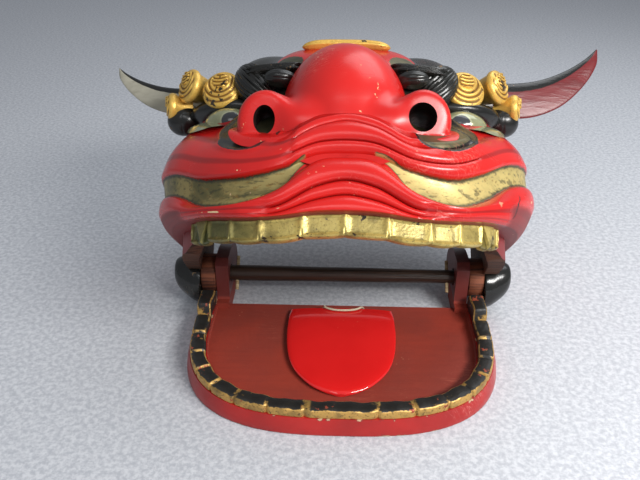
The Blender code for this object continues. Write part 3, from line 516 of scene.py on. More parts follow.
SHOULDER_FROM, SHOULDER_TO, SHOULDER_SHARE = 20.0, 38.0, 0.6
SOCKET_DEPTH = 0.008

# Each row of FOLDS: a name, the rows of the grid up to the next crease, then at every station the height in
# units of FOLD_ZONE, the stand-out in units of FOLD_DEPTH, and how far the roll above it bulges.
STATIONS = (0, 5, 12, 18, 26, 36, 48, 66, 90)
FOLDS = (
    ("lip_edge", 6,
     (0.148, 0.142, 0.108, 0.108, 0.148, 0.182, 0.205, 0.216, 0.216),
     (0.25, 0.25, 0.25, 0.25, 0.25, 0.10, -0.40, -0.40, 0.0),
     (0.55, 0.50, 0.25, 0.12, 0.12, 0.12, 0.12, 0.06, 0.0)),
    ("lower_lip_crease", 10,
     (0.290, 0.250, 0.142, 0.136, 0.176, 0.210, 0.233, 0.244, 0.244),
     (-0.25, -0.25, -0.12, 0.15, 0.30, 0.30, 0.25, 0.12, 0.0),
     (0.55, 0.50, 0.30, 0.15, 0.15, 0.15, 0.15, 0.06, 0.0)),
    ("upper_lip_crease", 18,
     (0.409, 0.358, 0.193, 0.170, 0.210, 0.244, 0.267, 0.278, 0.278),
     (-0.30, -0.25, -0.12, 0.25, 0.50, 0.50, 0.45, 0.25, 0.0),
     (1.0, 1.0, 1.0, 0.95, 0.75, 0.70, 0.65, 0.35, 0.0)),
    ("band_lower_edge", 12,
     (0.619, 0.591, 0.335, 0.248, 0.305, 0.490, 0.575, 0.580, 0.580),
     (-0.85, -0.75, -0.5, -0.5, -0.45, -0.25, -0.12, -0.06, 0.0),
     (0.0, 0.0, -0.2, -0.25, -0.25, -0.20, -0.15, -0.06, 0.0)),
    ("band_upper_edge", 12,
     (0.640, 0.630, 0.511, 0.466, 0.534, 0.682, 0.739, 0.727, 0.705),
     (-0.85, -0.75, -0.6, -0.6, -0.55, -0.25, -0.12, -0.06, 0.0),
     (0.55, 0.55, 0.55, 0.55, 0.5, 0.4, 0.25, 0.12, 0.0)),
    ("middle_crease", 12,
     (0.756, 0.733, 0.602, 0.585, 0.682, 0.841, 0.909, 0.898, 0.875),
     (-0.25, -0.25, -0.2, -0.12, -0.12, 0.0, 0.0, 0.0, 0.0),
     (0.6, 0.6, 0.6, 0.55, 0.5, 0.4, 0.25, 0.12, 0.0)),
    ("lid_crease", 8,
     (0.932, 0.881, 0.722, 0.727, 0.841, 0.989, 1.057, 1.045, 1.023),
     (-0.12, -0.12, -0.25, -0.4, -0.5, -0.25, 0.0, 0.0, 0.0),
     (0.18, 0.18, 0.18, 0.18, 0.18, 0.12, 0.06, 0.0, 0.0)),
    ("nose_line", 0,
     (1.000, 0.955, 0.790, 0.795, 0.932, 1.102, 1.182, 1.170, 1.148),
     (0.0, 0.0, -0.12, -0.25, -0.6, -0.6, -0.4, 0.0, 0.0),
     (0.0, 0.0, 0.0, 0.0, 0.0, 0.0, 0.0, 0.0, 0.0)),
)


def along_stations(angle, values):
    """A smooth curve through the stations' values, by cubic pieces with the mean slope at each station."""
    degrees = np.degrees(np.abs(angle))
    stations = np.asarray(STATIONS, dtype=float)
    values = np.asarray(values, dtype=float)
    slopes = np.gradient(values, stations)
    slopes[0] = 0.0
    index = np.clip(np.searchsorted(stations, degrees, side="right") - 1, 0, len(stations) - 2)
    span = stations[index + 1] - stations[index]
    return hermite((degrees - stations[index]) / span, values[index], values[index + 1],
                   span * slopes[index], span * slopes[index + 1])


def side_exponent(angle):
    """The profile is round in front and boxy at the sides, with a smooth change between two angles."""
    share = ease(np.degrees(np.abs(angle)), BOXY_FROM, BOXY_TO)
    return FRONT_EXPONENT + (SIDE_EXPONENT - FRONT_EXPONENT) * share


def skull_radius(angle, level, half_width=HALF_WIDTH, length=LENGTH, height=HEIGHT):
    """Plan superellipse times the profile's superellipse."""
    plan = (np.abs(np.sin(angle)) / half_width) ** PLAN_EXPONENT
    plan = plan + (np.abs(np.cos(angle)) / length) ** PLAN_EXPONENT
    power = side_exponent(angle)
    share = np.clip(np.maximum(level, 0) / height, 0, 1)
    return plan ** (-1.0 / PLAN_EXPONENT) * (1 - share ** power) ** (1 / power)


def swell(angle, level):
    """The cheeks' swelling, less the step back above the muzzle and the eye sockets."""
    degrees = np.degrees(np.abs(angle))
    cheek = CHEEK_SWELL * np.exp(-((degrees - CHEEK_TURN) / CHEEK_TURN_SPREAD) ** 2
                                 - ((level - CHEEK_LEVEL) / CHEEK_LEVEL_SPREAD) ** 2)
    side = np.sin(np.abs(angle)) * skull_radius(angle, level)
    above = ease(level - FOLD_ZONE * along_stations(angle, FOLDS[-1][2]), 0.0, STEP_HEIGHT)
    fade = np.clip((HEIGHT - level) / (HEIGHT - STEP_FADES_FROM), 0, 1)
    round_side = np.clip((90 - degrees) / (90 - STEP_SIDE_TURN), 0, 1)
    shoulder = ease(degrees, SHOULDER_FROM, SHOULDER_TO)
    recess = STEP_BACK * above * fade ** (1 - SHOULDER_SHARE * shoulder) * round_side
    socket = SOCKET_DEPTH * np.exp(-((side - EYE_CENTRE[0]) / EYE_RADII[0]) ** 2
                                   - ((level - EYE_CENTRE[2]) / EYE_RADII[2]) ** 2)
    return cheek - recess - socket


def outside_radius(angle, level):
    return skull_radius(angle, level) + swell(angle, level)


def tuck(points, depth=0.004):
    """Moves what lies deep inside the skull out to a little under its surface."""
    side, forward, up = np.moveaxis(points, -1, 0)
    angle = np.arctan2(side, forward + REAR_RIM)
    reach = np.hypot(side, forward + REAR_RIM)
    least = outside_radius(angle, up) - depth
    reach = np.where(reach < least, least, reach)
    return vectors(reach * np.sin(angle), reach * np.cos(angle) - REAR_RIM, up)


# %% [markdown]
# The real carving isn't quite the same on both sides, and its creases run out where the cheeks are smooth.
# Both are changes of the finished rows: a shift of their level, and an average with their neighbours.

# %% Rows of the shell, outside and inside
SHELL_COLUMNS = 301
SKULL_ROWS = 44
PAINT_ROWS = 8.0
LEFT_LEAN, RIGHT_LEAN = -0.0070, 0.0050
SOFTEN_ROUNDS, SOFTEN_RATE = 90, 0.9
LOWER_ROLL, LOWER_ROLL_TOP = 0.0030, 2.8
LOWER_ROLL_FULL, LOWER_ROLL_END = 32.0, 46.0
LID_MIDDLE = (21.0, 7.0)
LID_SIZE = (8.0, 1.32)
LID_RIDGE, LID_BED = 0.0016, 0.0012


def lean(angle, fold):
    """The cheeks' creases sit lower on the left than on the right: a shift of their level, in metres."""
    signed = np.degrees(angle)
    amount = LEFT_LEAN * ease(-signed, 16.0, 32.0) + RIGHT_LEAN * ease(signed, 20.0, 34.0)
    return amount * np.clip((fold - 1.2) / 1.6, 0, 1) * np.clip((7.0 - fold) / 2.5, 0, 1)


def soften(angle, rows):
    """Creases fade where the cheeks are smooth: each row is averaged with its neighbours again and again.

    The share that is averaged rises from 0 to 1 between two angles, wider on the right than on the left."""
    signed = np.degrees(angle)
    fold = np.array([np.mean(row[2]) for row in rows])[:, None]
    radius = np.stack([np.broadcast_to(row[1], angle.shape) for row in rows])
    level = np.stack([np.broadcast_to(row[0], angle.shape) for row in rows])
    upper = np.clip(np.where(signed > 0, (signed - 25.0) / 7.0, (-signed - 9.0) / 7.0), 0, 1)
    lower = np.clip((np.abs(signed) - 13.0) / 5.0, 0, 1)
    share = upper * np.clip((fold - 4.25) / 0.4, 0, 1) * np.clip((7.2 - fold) / 0.3, 0, 1)
    share = np.maximum(share, lower * np.clip((2.5 - fold) / 0.2, 0, 1) * np.clip((fold - 0.15) / 0.2, 0, 1))
    for _ in range(SOFTEN_ROUNDS):
        for values in (radius, level):
            middle = 0.5 * (values[:-2] + values[2:])
            values[1:-1] += share[1:-1] * SOFTEN_RATE * (middle - values[1:-1])
    bulge = np.clip((LOWER_ROLL_END - np.abs(signed)) / (LOWER_ROLL_END - LOWER_ROLL_FULL), 0, 1)
    radius += LOWER_ROLL * lower * bulge * np.sin(np.pi * np.clip(fold / LOWER_ROLL_TOP, 0, 1)) ** 0.7
    return [(level[i], radius[i], rows[i][2]) for i in range(len(rows))]


def lid_ring(signed_degrees, fold):
    """Distance from the middle of the nearer lower lid in units of its size: 1 on its outline."""
    across = (np.abs(signed_degrees) - LID_MIDDLE[0]) / LID_SIZE[0]
    return np.hypot(across, (fold - LID_MIDDLE[1]) / LID_SIZE[1])


def shell_rows(angle):
    """Levels, radii and fold coordinates of the outer surface, row by row from the rim to the crown.

    The fold coordinate counts creases: 0 at the lip's edge, 7 at the nose line and 8 at the crown."""
    degrees = np.degrees(np.abs(angle))
    inset = GUM_SIDE + (GUM_FRONT - GUM_SIDE) * np.interp(degrees, (35, 45), (1.0, 0.0))
    rim = FOLD_ZONE * np.interp(degrees, (0, 34, 42, 66, 90), (0.08, 0.10, 0.0, 0.0, 0.0))
    lip = FOLD_ZONE * along_stations(angle, FOLDS[0][2])
    rows = [(rim, skull_radius(angle, rim) - inset, -1.0), (lip, skull_radius(angle, lip) - inset, -0.5)]
    for number, (fold, above) in enumerate(zip(FOLDS[:-1], FOLDS[1:])):
        steps = fold[1]
        for count in range(steps):
            turn = np.pi * count / steps
            share = (1 - np.cos(turn)) / 2
            height = (1 - share) * along_stations(angle, fold[2]) + share * along_stations(angle, above[2])
            out = (1 - share) * along_stations(angle, fold[3]) + share * along_stations(angle, above[3])
            out = out + along_stations(angle, fold[4]) * np.sin(turn)
            level = FOLD_ZONE * height + lean(angle, number + share)
            rows.append((level, outside_radius(angle, level) + FOLD_DEPTH * out, number + share))
    line = FOLD_ZONE * along_stations(angle, FOLDS[-1][2])
    line_out = FOLD_DEPTH * along_stations(angle, FOLDS[-1][3])
    power = side_exponent(angle)
    start = np.arcsin(np.clip(line / HEIGHT, 0, 1) ** (power / 2))
    for count in range(SKULL_ROWS + 1):
        share = count / SKULL_ROWS
        level = HEIGHT * np.sin(start + (np.pi / 2 - start) * share) ** (2 / power)
        radius = outside_radius(angle, level) + line_out * np.clip(1 - 3 * share, 0, 1)
        radius = np.where(share == 1, 0.0, radius)
        rows.append((level, radius, 7.0 + share))
    softened = []
    for level, radius, fold in soften(angle, rows):
        ring = lid_ring(degrees, fold)
        rise = LID_RIDGE * np.exp(-((ring - 1.0) / 0.10) ** 2) - LID_BED * np.clip((0.95 - ring) / 0.15, 0, 1)
        rise = rise * np.clip((7.30 - fold) / 0.15, 0, 1) * np.clip((fold - 5.2) / 0.2, 0, 1)
        softened.append((level, radius + rise, fold))
    return softened


def shell_grid():
    """Outer and inner surfaces of the shell as grids, and the paint coordinates of the outer one."""
    angle = np.radians(np.linspace(-90, 90, SHELL_COLUMNS))
    rows = shell_rows(angle)
    outer = np.stack([head_world(radius * np.sin(angle), radius * np.cos(angle) - REAR_RIM, level)
                      for level, radius, _ in rows])
    paint = np.stack([np.stack([angle / np.pi + 0.5, np.full(len(angle), fold / PAINT_ROWS)], axis=-1)
                      for _, _, fold in rows])
    ceiling = HEIGHT - SHELL_WALL
    inner = []
    for level, radius, fold in rows:
        scaled = np.minimum(level * ceiling / HEIGHT, ceiling)
        scaled = np.where(fold <= -1.0, level, scaled)
        hollow = skull_radius(angle, scaled, HALF_WIDTH - GUM_SIDE - SHELL_WALL,
                              LENGTH - GUM_FRONT - SHELL_WALL_FRONT, ceiling)
        hollow = np.minimum(hollow, outside_radius(angle, scaled) - SHELL_WALL)
        hollow = np.where(fold >= PAINT_ROWS, 0.0, np.maximum(hollow, 0.0))
        inner.append(head_world(hollow * np.sin(angle), hollow * np.cos(angle) - REAR_RIM, scaled))
    return outer, np.stack(inner), paint


def walled_piece(name, outer, inner, materials, paint):
    """A wall between two grids of one size, closed along its rim and its two rear edges."""
    rows, columns = outer.shape[:2]
    count = rows * columns
    index = np.arange(count).reshape(rows, columns)
    strips = [np.stack([index[0, 1:], index[0, :-1], index[0, :-1] + count, index[0, 1:] + count], axis=-1)]
    for edge in (index[:, 0], index[:, -1][::-1]):
        strips.append(np.stack([edge[:-1], edge[1:], edge[1:] + count, edge[:-1] + count], axis=-1))
    outside = grid_quads(rows, columns)
    inside = grid_quads(rows, columns, start=count)[:, ::-1]
    quads = np.concatenate([outside, inside] + strips)
    slots = np.concatenate([np.zeros(len(outside)), np.ones(len(inside)), np.ones(sum(map(len, strips)))])
    points = np.concatenate([outer.reshape(-1, 3), inner.reshape(-1, 3)])
    uv = np.concatenate([paint.reshape(-1, 2), paint.reshape(-1, 2)])
    return make_piece(name, points, quads, materials, uv, slots, sharp=CARVED_SHARP)


# %% [markdown]
# The head's paint follows the carving, so it is laid out in the shell's own coordinates: how far round the
# head a point is, and between which creases it lies. Edges of paint then stay crisp at any resolution. The
# lacquer is red with black behind the eyes, and a tarnished gold band lies in the long groove of each cheek.
# Painted shade, with some dirt, darkens the muzzle's creases. Painted shade also darkens the lip's underside
# and the left half of the band.

# %% Paint and lacquer of the head
RED_BRIGHT = srgb(200, 30, 26)
RED_WARM = srgb(184, 26, 24)
RED_CREASE_SHADE_AND_DIRT = srgb(128, 16, 16)
RED_MATTE_AND_UNDERLIP_SHADE = srgb(112, 40, 40)
PRIMER = srgb(222, 196, 150)
GOLD_LIGHT = srgb(208, 188, 120)
GOLD_DARK = srgb(128, 96, 44)
VERDIGRIS = srgb(88, 90, 58)
BLACK_PAINT = srgb(30, 30, 28)
GOLD_LEFT_PAINTED_SHADE = srgb(98, 92, 56)
GOLD_STREAK = srgb(58, 62, 48)
GOLD_BORDER = srgb(44, 50, 42)
SIZE_GOLD = srgb(206, 168, 84)
CRACK_BROWN = srgb(52, 16, 14)
BAND_FOLDS = (3.0, 4.02)
BAND_ENDS = ((5.0, 5.4), (-7.2, -7.6))
LID_GOLD_MIDDLE, LID_GOLD_SIZE = (19.8, 7.1), (7.2, 1.12)
TRIM_MIDDLE, TRIM_SIZE = (18.5, 7.40), (5.0, 0.07)
CHEEK_CHIP, CHEEK_CHIP_SIZE = (-22.8, 1.45), (1.15, 0.34)
BAND_CHIP, BAND_CHIP_SIZE = (-16.2, 3.02), (2.3, 0.10)
CRACK_TURN = 31.0


def paint_coordinates(tree):
    """Degrees round the head, signed, and the fold coordinate."""
    split = paint_uv(tree)
    turn = both(tree, calc(tree, "SUBTRACT", split[0], 0.5), 180.0)
    return turn, both(tree, split[1], PAINT_ROWS)


def ellipse(tree, turn, fold, centre, size):
    """Distance from a point of the paint coordinates in units of two half sizes: 1 on the outline."""
    across = calc(tree, "DIVIDE", calc(tree, "SUBTRACT", turn, centre[0]), size[0])
    along = calc(tree, "DIVIDE", calc(tree, "SUBTRACT", fold, centre[1]), size[1])
    return calc(tree, "SQRT", calc(tree, "ADD", both(tree, across, across), both(tree, along, along)))


def spot(tree, turn, fold, centre, size, wobble):
    """A ragged patch round a point of the paint coordinates."""
    return step(tree, calc(tree, "ADD", ellipse(tree, turn, fold, centre, size), wobble), 1.06, 0.98)


def make_head_lacquer():
    material, tree, shader = start_material("carved_red_lacquer")
    place = object_place(tree)
    turn, fold = paint_coordinates(tree)
    wide = calc(tree, "ABSOLUTE", turn)
    ragged = wander(tree, place, 420.0, 0.22)
    fold_edge = calc(tree, "ADD", fold, both(tree, ragged, 0.6))
    within = calc(tree, "FRACT", fold)
    crest = both(tree, step(tree, within, 0.25, 0.5), step(tree, within, 0.75, 0.5))
    crease = either(tree, step(tree, within, 0.10, 0.0), step(tree, within, 0.90, 1.0))
    muzzle = step(tree, fold, 7.02, 6.98)

    hue = step(tree, noise(tree, place, 9.0, 3.0), 0.35, 0.65)
    red = blend_colour(tree, hue, RED_BRIGHT, RED_WARM)
    # The creases of the muzzle are painted deeper red: painted shade, with some dirt.
    red = blend_colour(tree, both(tree, both(tree, crease, muzzle), 0.7), red, RED_CREASE_SHADE_AND_DIRT)
    # Low on the sides the lacquer is matte and darker red. The underside of the lip, below fold 0, gets the same
    # darker red as painted shade.
    dull_and_underlip_shade = both(tree, step(tree, calc(tree, "ADD", wide, both(tree, ragged, 12.0)), 31.0, 33.5),
                step(tree, fold_edge, 2.3, 2.05))
    dull_and_underlip_shade = either(tree, dull_and_underlip_shade, step(tree, fold, 0.02, -0.1))
    red = blend_colour(tree, both(tree, dull_and_underlip_shade, 0.85), red, RED_MATTE_AND_UNDERLIP_SHADE)

    tip = step(tree, wide, 10.5, 7.0)
    upper_edge = calc(tree, "ADD", BAND_FOLDS[1], both(tree, tip, 0.30))
    lower_edge = calc(tree, "ADD", BAND_FOLDS[0], both(tree, step(tree, wide, 11.5, 7.0), 0.60))
    above = calc(tree, "SUBTRACT", fold_edge, lower_edge)
    below = calc(tree, "SUBTRACT", upper_edge, fold_edge)
    tip_place = calc(tree, "ADD", turn, both(tree, ragged, 6.0))
    ends = either(tree, *(step(tree, tip_place, *limits) for limits in BAND_ENDS))
    band = both(tree, both(tree, step(tree, above, 0.0, 0.03), step(tree, below, 0.0, 0.03)), ends)
    border = either(tree, step(tree, above, 0.17, 0.05), step(tree, below, 0.17, 0.05))
    # The band's left half is painted darker and more tarnished: painted shade, for the light falls from the
    # right.
    left_band_painted_shade = step(tree, turn, 2.0, -2.0)
    tarnish = use_group(tree, TARNISH, mapped(tree, place, (0.45, 1.0, 1.0)), Scale=60.0, Amount=1.0)
    amount = calc(tree, "ADD", 0.35, both(tree, left_band_painted_shade, 0.55))
    gold = blend_colour(tree, both(tree, tarnish["Cloud"], amount), GOLD_LIGHT, VERDIGRIS)
    gold = blend_colour(tree, both(tree, left_band_painted_shade, 0.55), gold, GOLD_LEFT_PAINTED_SHADE)
    gold = blend_colour(tree, both(tree, tarnish["Speckle"], 0.6), gold, GOLD_DARK)
    streaks = noise(tree, mapped(tree, place, (0.12, 1.0, 1.0)), 300.0, 3.0)
    gold = blend_colour(tree, both(tree, step(tree, streaks, 0.54, 0.64), 0.6), gold, GOLD_STREAK)
    gold = blend_colour(tree, both(tree, border, 0.85), gold, GOLD_BORDER)

    ring = calc(tree, "ADD", ellipse(tree, wide, fold, LID_MIDDLE, LID_SIZE), both(tree, ragged, 0.3))
    lid = both(tree, step(tree, ring, 1.02, 0.99), step(tree, fold, 7.34, 7.28))
    inner = ellipse(tree, wide, fold, LID_GOLD_MIDDLE, LID_GOLD_SIZE)
    lid_gold = both(tree, step(tree, calc(tree, "ADD", inner, both(tree, ragged, 0.5)), 0.90, 0.80),
                    step(tree, fold, 7.24, 7.18))
    skull_black = both(tree, step(tree, fold, 7.03, 7.05), step(tree, wide, 20.0, 22.0))
    skull_black = either(tree, skull_black,
                         both(tree, step(tree, fold, 7.06, 7.09), step(tree, wide, 14.0, 16.0)))
    black_top = calc(tree, "ADD", 7.24, both(tree, step(tree, wide, 23.5, 25.0), 0.60))
    skull_black = both(tree, skull_black, step(tree, calc(tree, "SUBTRACT", fold, black_top), 0.01, -0.01))
    black = either(tree, lid, skull_black)
    trim = spot(tree, wide, fold, TRIM_MIDDLE, TRIM_SIZE, both(tree, ragged, 1.5))
    gilt = either(tree, either(tree, band, lid_gold), trim)

    colour = blend_colour(tree, black, red, BLACK_PAINT)
    colour = blend_colour(tree, gilt, colour, gold)

    chips = use_group(tree, CHIPS, place, Scale=170.0, Edge=both(tree, crest, muzzle), Amount=0.30)
    bare = both(tree, chips["Mask"], step(tree, noise(tree, place, 22.0), 0.45, 0.62))
    wobble = wander(tree, place, 330.0, 1.2)
    cheek_chip = spot(tree, turn, fold, CHEEK_CHIP, CHEEK_CHIP_SIZE, wobble)
    band_chip = spot(tree, turn, fold, BAND_CHIP, BAND_CHIP_SIZE, wobble)
    bare = either(tree, bare, either(tree, cheek_chip, band_chip))
    colour = blend_colour(tree, bare, colour, blend_colour(tree, band_chip, PRIMER, SIZE_GOLD))

    crack_line = calc(tree, "ADD", turn, calc(tree, "ADD", both(tree, fold, -1.5), both(tree, ragged, 4.0)))
    from_crack = calc(tree, "ABSOLUTE", calc(tree, "SUBTRACT", crack_line, CRACK_TURN))
    crack = both(tree, step(tree, from_crack, 0.28, 0.12), step(tree, fold, 1.2, 1.4))
    crack = both(tree, crack, step(tree, fold, 2.7, 2.5))
    colour = blend_colour(tree, crack, colour, CRACK_BROWN)

    scuffs = use_group(tree, SCUFFS, place, Scale=60.0, Amount=0.8)
    colour = blend_colour(tree, both(tree, scuffs["Scratches"], 0.35), colour, srgb(236, 150, 130))
    colour = blend_colour(tree, both(tree, scuffs["Specks"], 0.6), colour, srgb(224, 190, 160))

    rough = total(tree, 0.20, both(tree, noise(tree, place, 30.0), 0.10),
                  both(tree, either(tree, scuffs["Scratches"], bare), 0.35), both(tree, dull_and_underlip_shade, 0.25),
                  both(tree, gilt, 0.16))
    height = total(tree, both(tree, noise(tree, place, 60.0, 2.0), 0.5),
                   both(tree, noise(tree, place, 700.0), 0.06))
    height = calc(tree, "SUBTRACT", height, both(tree, bare, 0.5))
    height = calc(tree, "SUBTRACT", height, both(tree, crack, 1.2))
    finish_material(tree, shader, colour, rough, both(tree, gilt, 0.45), height, 0.35)
    return material


def make_bare_wood(name, light, dark, roughness=0.7):
    """Unpainted carving wood, with grain along X."""
    material, tree, shader = start_material(name)
    place = object_place(tree)
    grain = use_group(tree, GRAIN, place, Scale=260.0, Stretch=0.05)["Mask"]
    cloud = step(tree, noise(tree, place, 18.0), 0.35, 0.7)
    colour = blend_colour(tree, grain, light, dark)
    colour = blend_colour(tree, both(tree, cloud, 0.4), colour, dark)
    finish_material(tree, shader, colour, roughness, height=grain, bump=0.5)
    return material


HEAD_LACQUER = make_head_lacquer()
INSIDE_WOOD = make_bare_wood("inside_wood", srgb(104, 66, 42), srgb(56, 34, 22))
NOTCH_WOOD = make_bare_wood("notch_wood", srgb(52, 30, 24), srgb(24, 14, 12))

# %% [markdown]
# The shell is a wall about 11 mm thick between an outer and an inner surface, open behind and below, where
# the wearer's head or hands go in. The knobs and the blocks at the hinge sit in round notches in it.

# %% Head shell
KNOB_RADIUS = 0.0222
KNOB_DROP = 0.0065
KNOB_INNER = 0.1270
KNOB_OUTER = 0.1520
BLOCK_RADIUS = 0.0173
CLEAR = 0.0006
PAST_THE_CHEEKS = 0.18


def wheel_grid(stations, centre_up, columns=72):
    """Rings about the rod's line: each station is a place on X, a radius and a rise."""
    place, radius, rise = (np.asarray(column, dtype=float)[:, None] for column in zip(*stations))
    turn = np.linspace(0, 2 * np.pi, columns, endpoint=False)[None, :]
    return vectors(place, ROD_BACK + radius * np.cos(turn),
                   ROD_HEIGHT + centre_up + rise + radius * np.sin(turn))


outer_grid, inner_grid, paint_grid = shell_grid()
shell = walled_piece("head_shell_carved", outer_grid, inner_grid, [HEAD_LACQUER, INSIDE_WOOD], paint_grid)
NOTCHES = ((KNOB_RADIUS + CLEAR, -KNOB_DROP, PAST_THE_CHEEKS), (BLOCK_RADIUS + CLEAR, 0.0, KNOB_INNER))
for radius, rise, reach in NOTCHES:
    notch = wheel_grid([(-reach, radius, 0.0), (reach, radius, 0.0)], rise)
    carve(shell, closed_grid("notch", notch, [NOTCH_WOOD]))
shell.data.set_sharp_from_angle(angle=CARVED_SHARP)
dress(shell, HEAD, "head_shell", slot="red_lacquer")

# %% [markdown]
# The nose is a tall dome with a broad root and two wings that flow into it. A sum of plain ellipsoids would
# meet in hard lines, so the surface is found along rays from inside: the distance to each ellipsoid is
# blended by a smooth minimum, and every ray stops where that blend is nought. The nostrils are bored after.

# %% Nose
NOSE_MIDDLE = np.array([0.0, 0.118, 0.096])
NOSE_FORMS = (
    ((-0.0010, 0.112, 0.1050), (0.0500, 0.0560, 0.0600)),
    ((0.0, 0.120, 0.085), (0.0520, 0.0460, 0.0230)),
    ((0.0310, 0.1370, 0.0880), (0.0240, 0.0290, 0.0215)),
    ((-0.0320, 0.1370, 0.0870), (0.0240, 0.0290, 0.0215)),
)
WING_CENTRES = {-1: (-0.0605, 0.143, 0.0905), 1: (0.0560, 0.143, 0.0940)}
WING_BODY_SHIFTS = {-1: (0.0015, 0.0, -0.0025), 1: (-0.0002, 0.0, -0.0040)}
NOSE_BLEND = 0.008
NOSE_ROWS, NOSE_COLUMNS = 200, 280
WING_RADII = (0.0215, 0.0340, 0.0240)
WING_FRONT, WING_EDGE, WING_SPLAY = 0.0150, 0.005, 0.10
RAY_START, RAY_LEAST, RAY_STEPS, RAY_PACE = 0.13, 0.004, 90, 0.7
NOSTRIL_MOUTHS = ((-1, 0.0080), (1, 0.0106))
NOSTRIL_HEIGHT = 0.0106
NOSTRIL_DIP = np.radians(14.0)
NOSTRIL_IN = 0.0010
BORE_STATIONS = ((-0.010, 0.55), (-0.008, 0.8), (-0.002, 0.96), (0.010, 1.0), (0.022, 1.0), (0.060, 1.0))


def ellipsoid_distance(points, centre, radii):
    """Near-distance to an ellipsoid: k0 (k0 - 1) / k1 with k0 = |p / r| and k1 = |p / r squared|."""
    local = (points - np.array(centre)) / np.array(radii)
    first = np.linalg.norm(local, axis=-1)
    second = np.linalg.norm(local / np.array(radii), axis=-1)
    return first * (first - 1) / np.maximum(second, 1e-9)


def wing_distance(points, side):
    """A nose wing: a fat ellipsoid cut by a plane across the nostril's axis, with a rounded edge."""
    centre = np.array(WING_CENTRES[side]) + np.array(WING_BODY_SHIFTS[side])
    body = ellipsoid_distance(points, centre, WING_RADII)
    axis = np.array([WING_SPLAY * side, np.cos(NOSTRIL_DIP), -np.sin(NOSTRIL_DIP)])
    plane = (points - centre) @ axis - WING_FRONT
    near = np.clip(0.5 + 0.5 * (body - plane) / WING_EDGE, 0, 1)
    return body * near + plane * (1 - near) + WING_EDGE * near * (1 - near)


def smooth_union(distances, width):
    """Smooth minimum: the lower of two values, rounded where they come within width of each other."""
    result = distances[0]
    for other in distances[1:]:
        near = np.clip(0.5 + 0.5 * (other - result) / width, 0, 1)
        result = other * (1 - near) + result * near - width * near * (1 - near)
    return result


def nose_grid():
    """Rays from the nose's middle, shortened from outside until they meet the blended surface."""
    polar = np.linspace(0, np.pi, NOSE_ROWS + 2)[1:-1, None]
    round_about = np.linspace(0, 2 * np.pi, NOSE_COLUMNS, endpoint=False)[None, :]
    rays = vectors(np.sin(polar) * np.cos(round_about), np.sin(polar) * np.sin(round_about), np.cos(polar))
    reach = np.full(rays.shape[:2], RAY_START)
    for _ in range(RAY_STEPS):
        points = NOSE_MIDDLE + rays * reach[..., None]
        forms = [ellipsoid_distance(points, *form) for form in NOSE_FORMS]
        distance = smooth_union(forms + [wing_distance(points, -1), wing_distance(points, 1)], NOSE_BLEND)
        reach = np.maximum(reach - RAY_PACE * distance, RAY_LEAST)
    return NOSE_MIDDLE + rays * reach[..., None]


def make_plain_lacquer():
    material, tree, shader = start_material("nose_red_lacquer")
    place = object_place(tree)
    hue = step(tree, noise(tree, place, 11.0, 3.0), 0.35, 0.65)
    colour = blend_colour(tree, hue, RED_BRIGHT, RED_WARM)
    scuffs = use_group(tree, SCUFFS, place, Scale=48.0, Amount=1.0)
    chips = use_group(tree, CHIPS, place, Scale=120.0, Edge=0.35, Amount=0.5)
    colour = blend_colour(tree, both(tree, scuffs["Scratches"], 0.5), colour, srgb(232, 150, 132))
    colour = blend_colour(tree, both(tree, scuffs["Specks"], 0.8), colour, srgb(226, 186, 156))
    colour = blend_colour(tree, chips["Mask"], colour, srgb(216, 170, 130))
    rough = total(tree, 0.22, both(tree, noise(tree, place, 26.0), 0.14),
                  both(tree, scuffs["Scratches"], 0.3))
    height = total(tree, both(tree, noise(tree, place, 45.0, 2.0), 0.6),
                   both(tree, noise(tree, place, 700.0), 0.05))
    finish_material(tree, shader, colour, rough, 0.0, height, 0.35)
    return material


def make_nostril_dark():
    material, tree, shader = start_material("nostril_dark")
    grain = use_group(tree, GRAIN, object_place(tree), Scale=160.0, Stretch=0.4)["Mask"]
    colour = blend_colour(tree, grain, srgb(46, 16, 15), srgb(16, 8, 8))
    finish_material(tree, shader, colour, 0.55, height=grain, bump=0.6)
    return material


def nostril_tool(side, width):
    """A round bore with a dip towards its mouth; its rear end stays inside the nose."""
    turn = np.linspace(0, 2 * np.pi, 64, endpoint=False)
    middle = np.array(WING_CENTRES[side]) - (side * NOSTRIL_IN, 0.0, 0.0)
    rows = []
    for reach, size in BORE_STATIONS:
        rise = size * NOSTRIL_HEIGHT * np.sin(turn)
        forward = middle[1] + reach * np.cos(NOSTRIL_DIP) + rise * np.sin(NOSTRIL_DIP)
        up = middle[2] - reach * np.sin(NOSTRIL_DIP) + rise * np.cos(NOSTRIL_DIP)
        rows.append(head_world(middle[0] + size * width * np.cos(turn), forward, up))
    return closed_grid("nostril_tool", np.stack(rows), [NOSTRIL_DARK])


def sink_into_head(piece):
    """Moves a carved piece's deep points out to the skull, and its forward axis with them, in one pass."""
    mesh = piece.data
    flat = np.empty(len(mesh.vertices) * 3, dtype=np.float32)
    mesh.vertices.foreach_get("co", flat)
    place = flat.reshape(-1, 3).astype(float)
    forward = (ROD_BACK - place[:, 1]) * np.cos(TILT) + (place[:, 2] - ROD_HEIGHT) * np.sin(TILT)
    up = (place[:, 1] - ROD_BACK) * np.sin(TILT) + (place[:, 2] - ROD_HEIGHT) * np.cos(TILT)
    sunk = tuck(np.stack([place[:, 0], forward, up], axis=-1))
    mesh.vertices.foreach_set("co", place_in_head(sunk).astype(np.float32).ravel())
    mesh.update()


NOSE_LACQUER = make_plain_lacquer()
NOSTRIL_DARK = make_nostril_dark()
nose = closed_grid("nose_carved", place_in_head(nose_grid()), [NOSE_LACQUER], sharp=ROUND_SHARP)
for side, width in NOSTRIL_MOUTHS:
    carve(nose, nostril_tool(side, width))
sink_into_head(nose)
nose.data.set_sharp_from_angle(angle=CARVED_SHARP)
dress(nose, HEAD, "nose", slot="red_lacquer")

# %% [markdown]
# Black lacquer covers the brows, the hair, the rounded balls below the curls and the knobs at the hinge. It
# is the glossiest paint on the head, thin enough that knocked edges show brown.

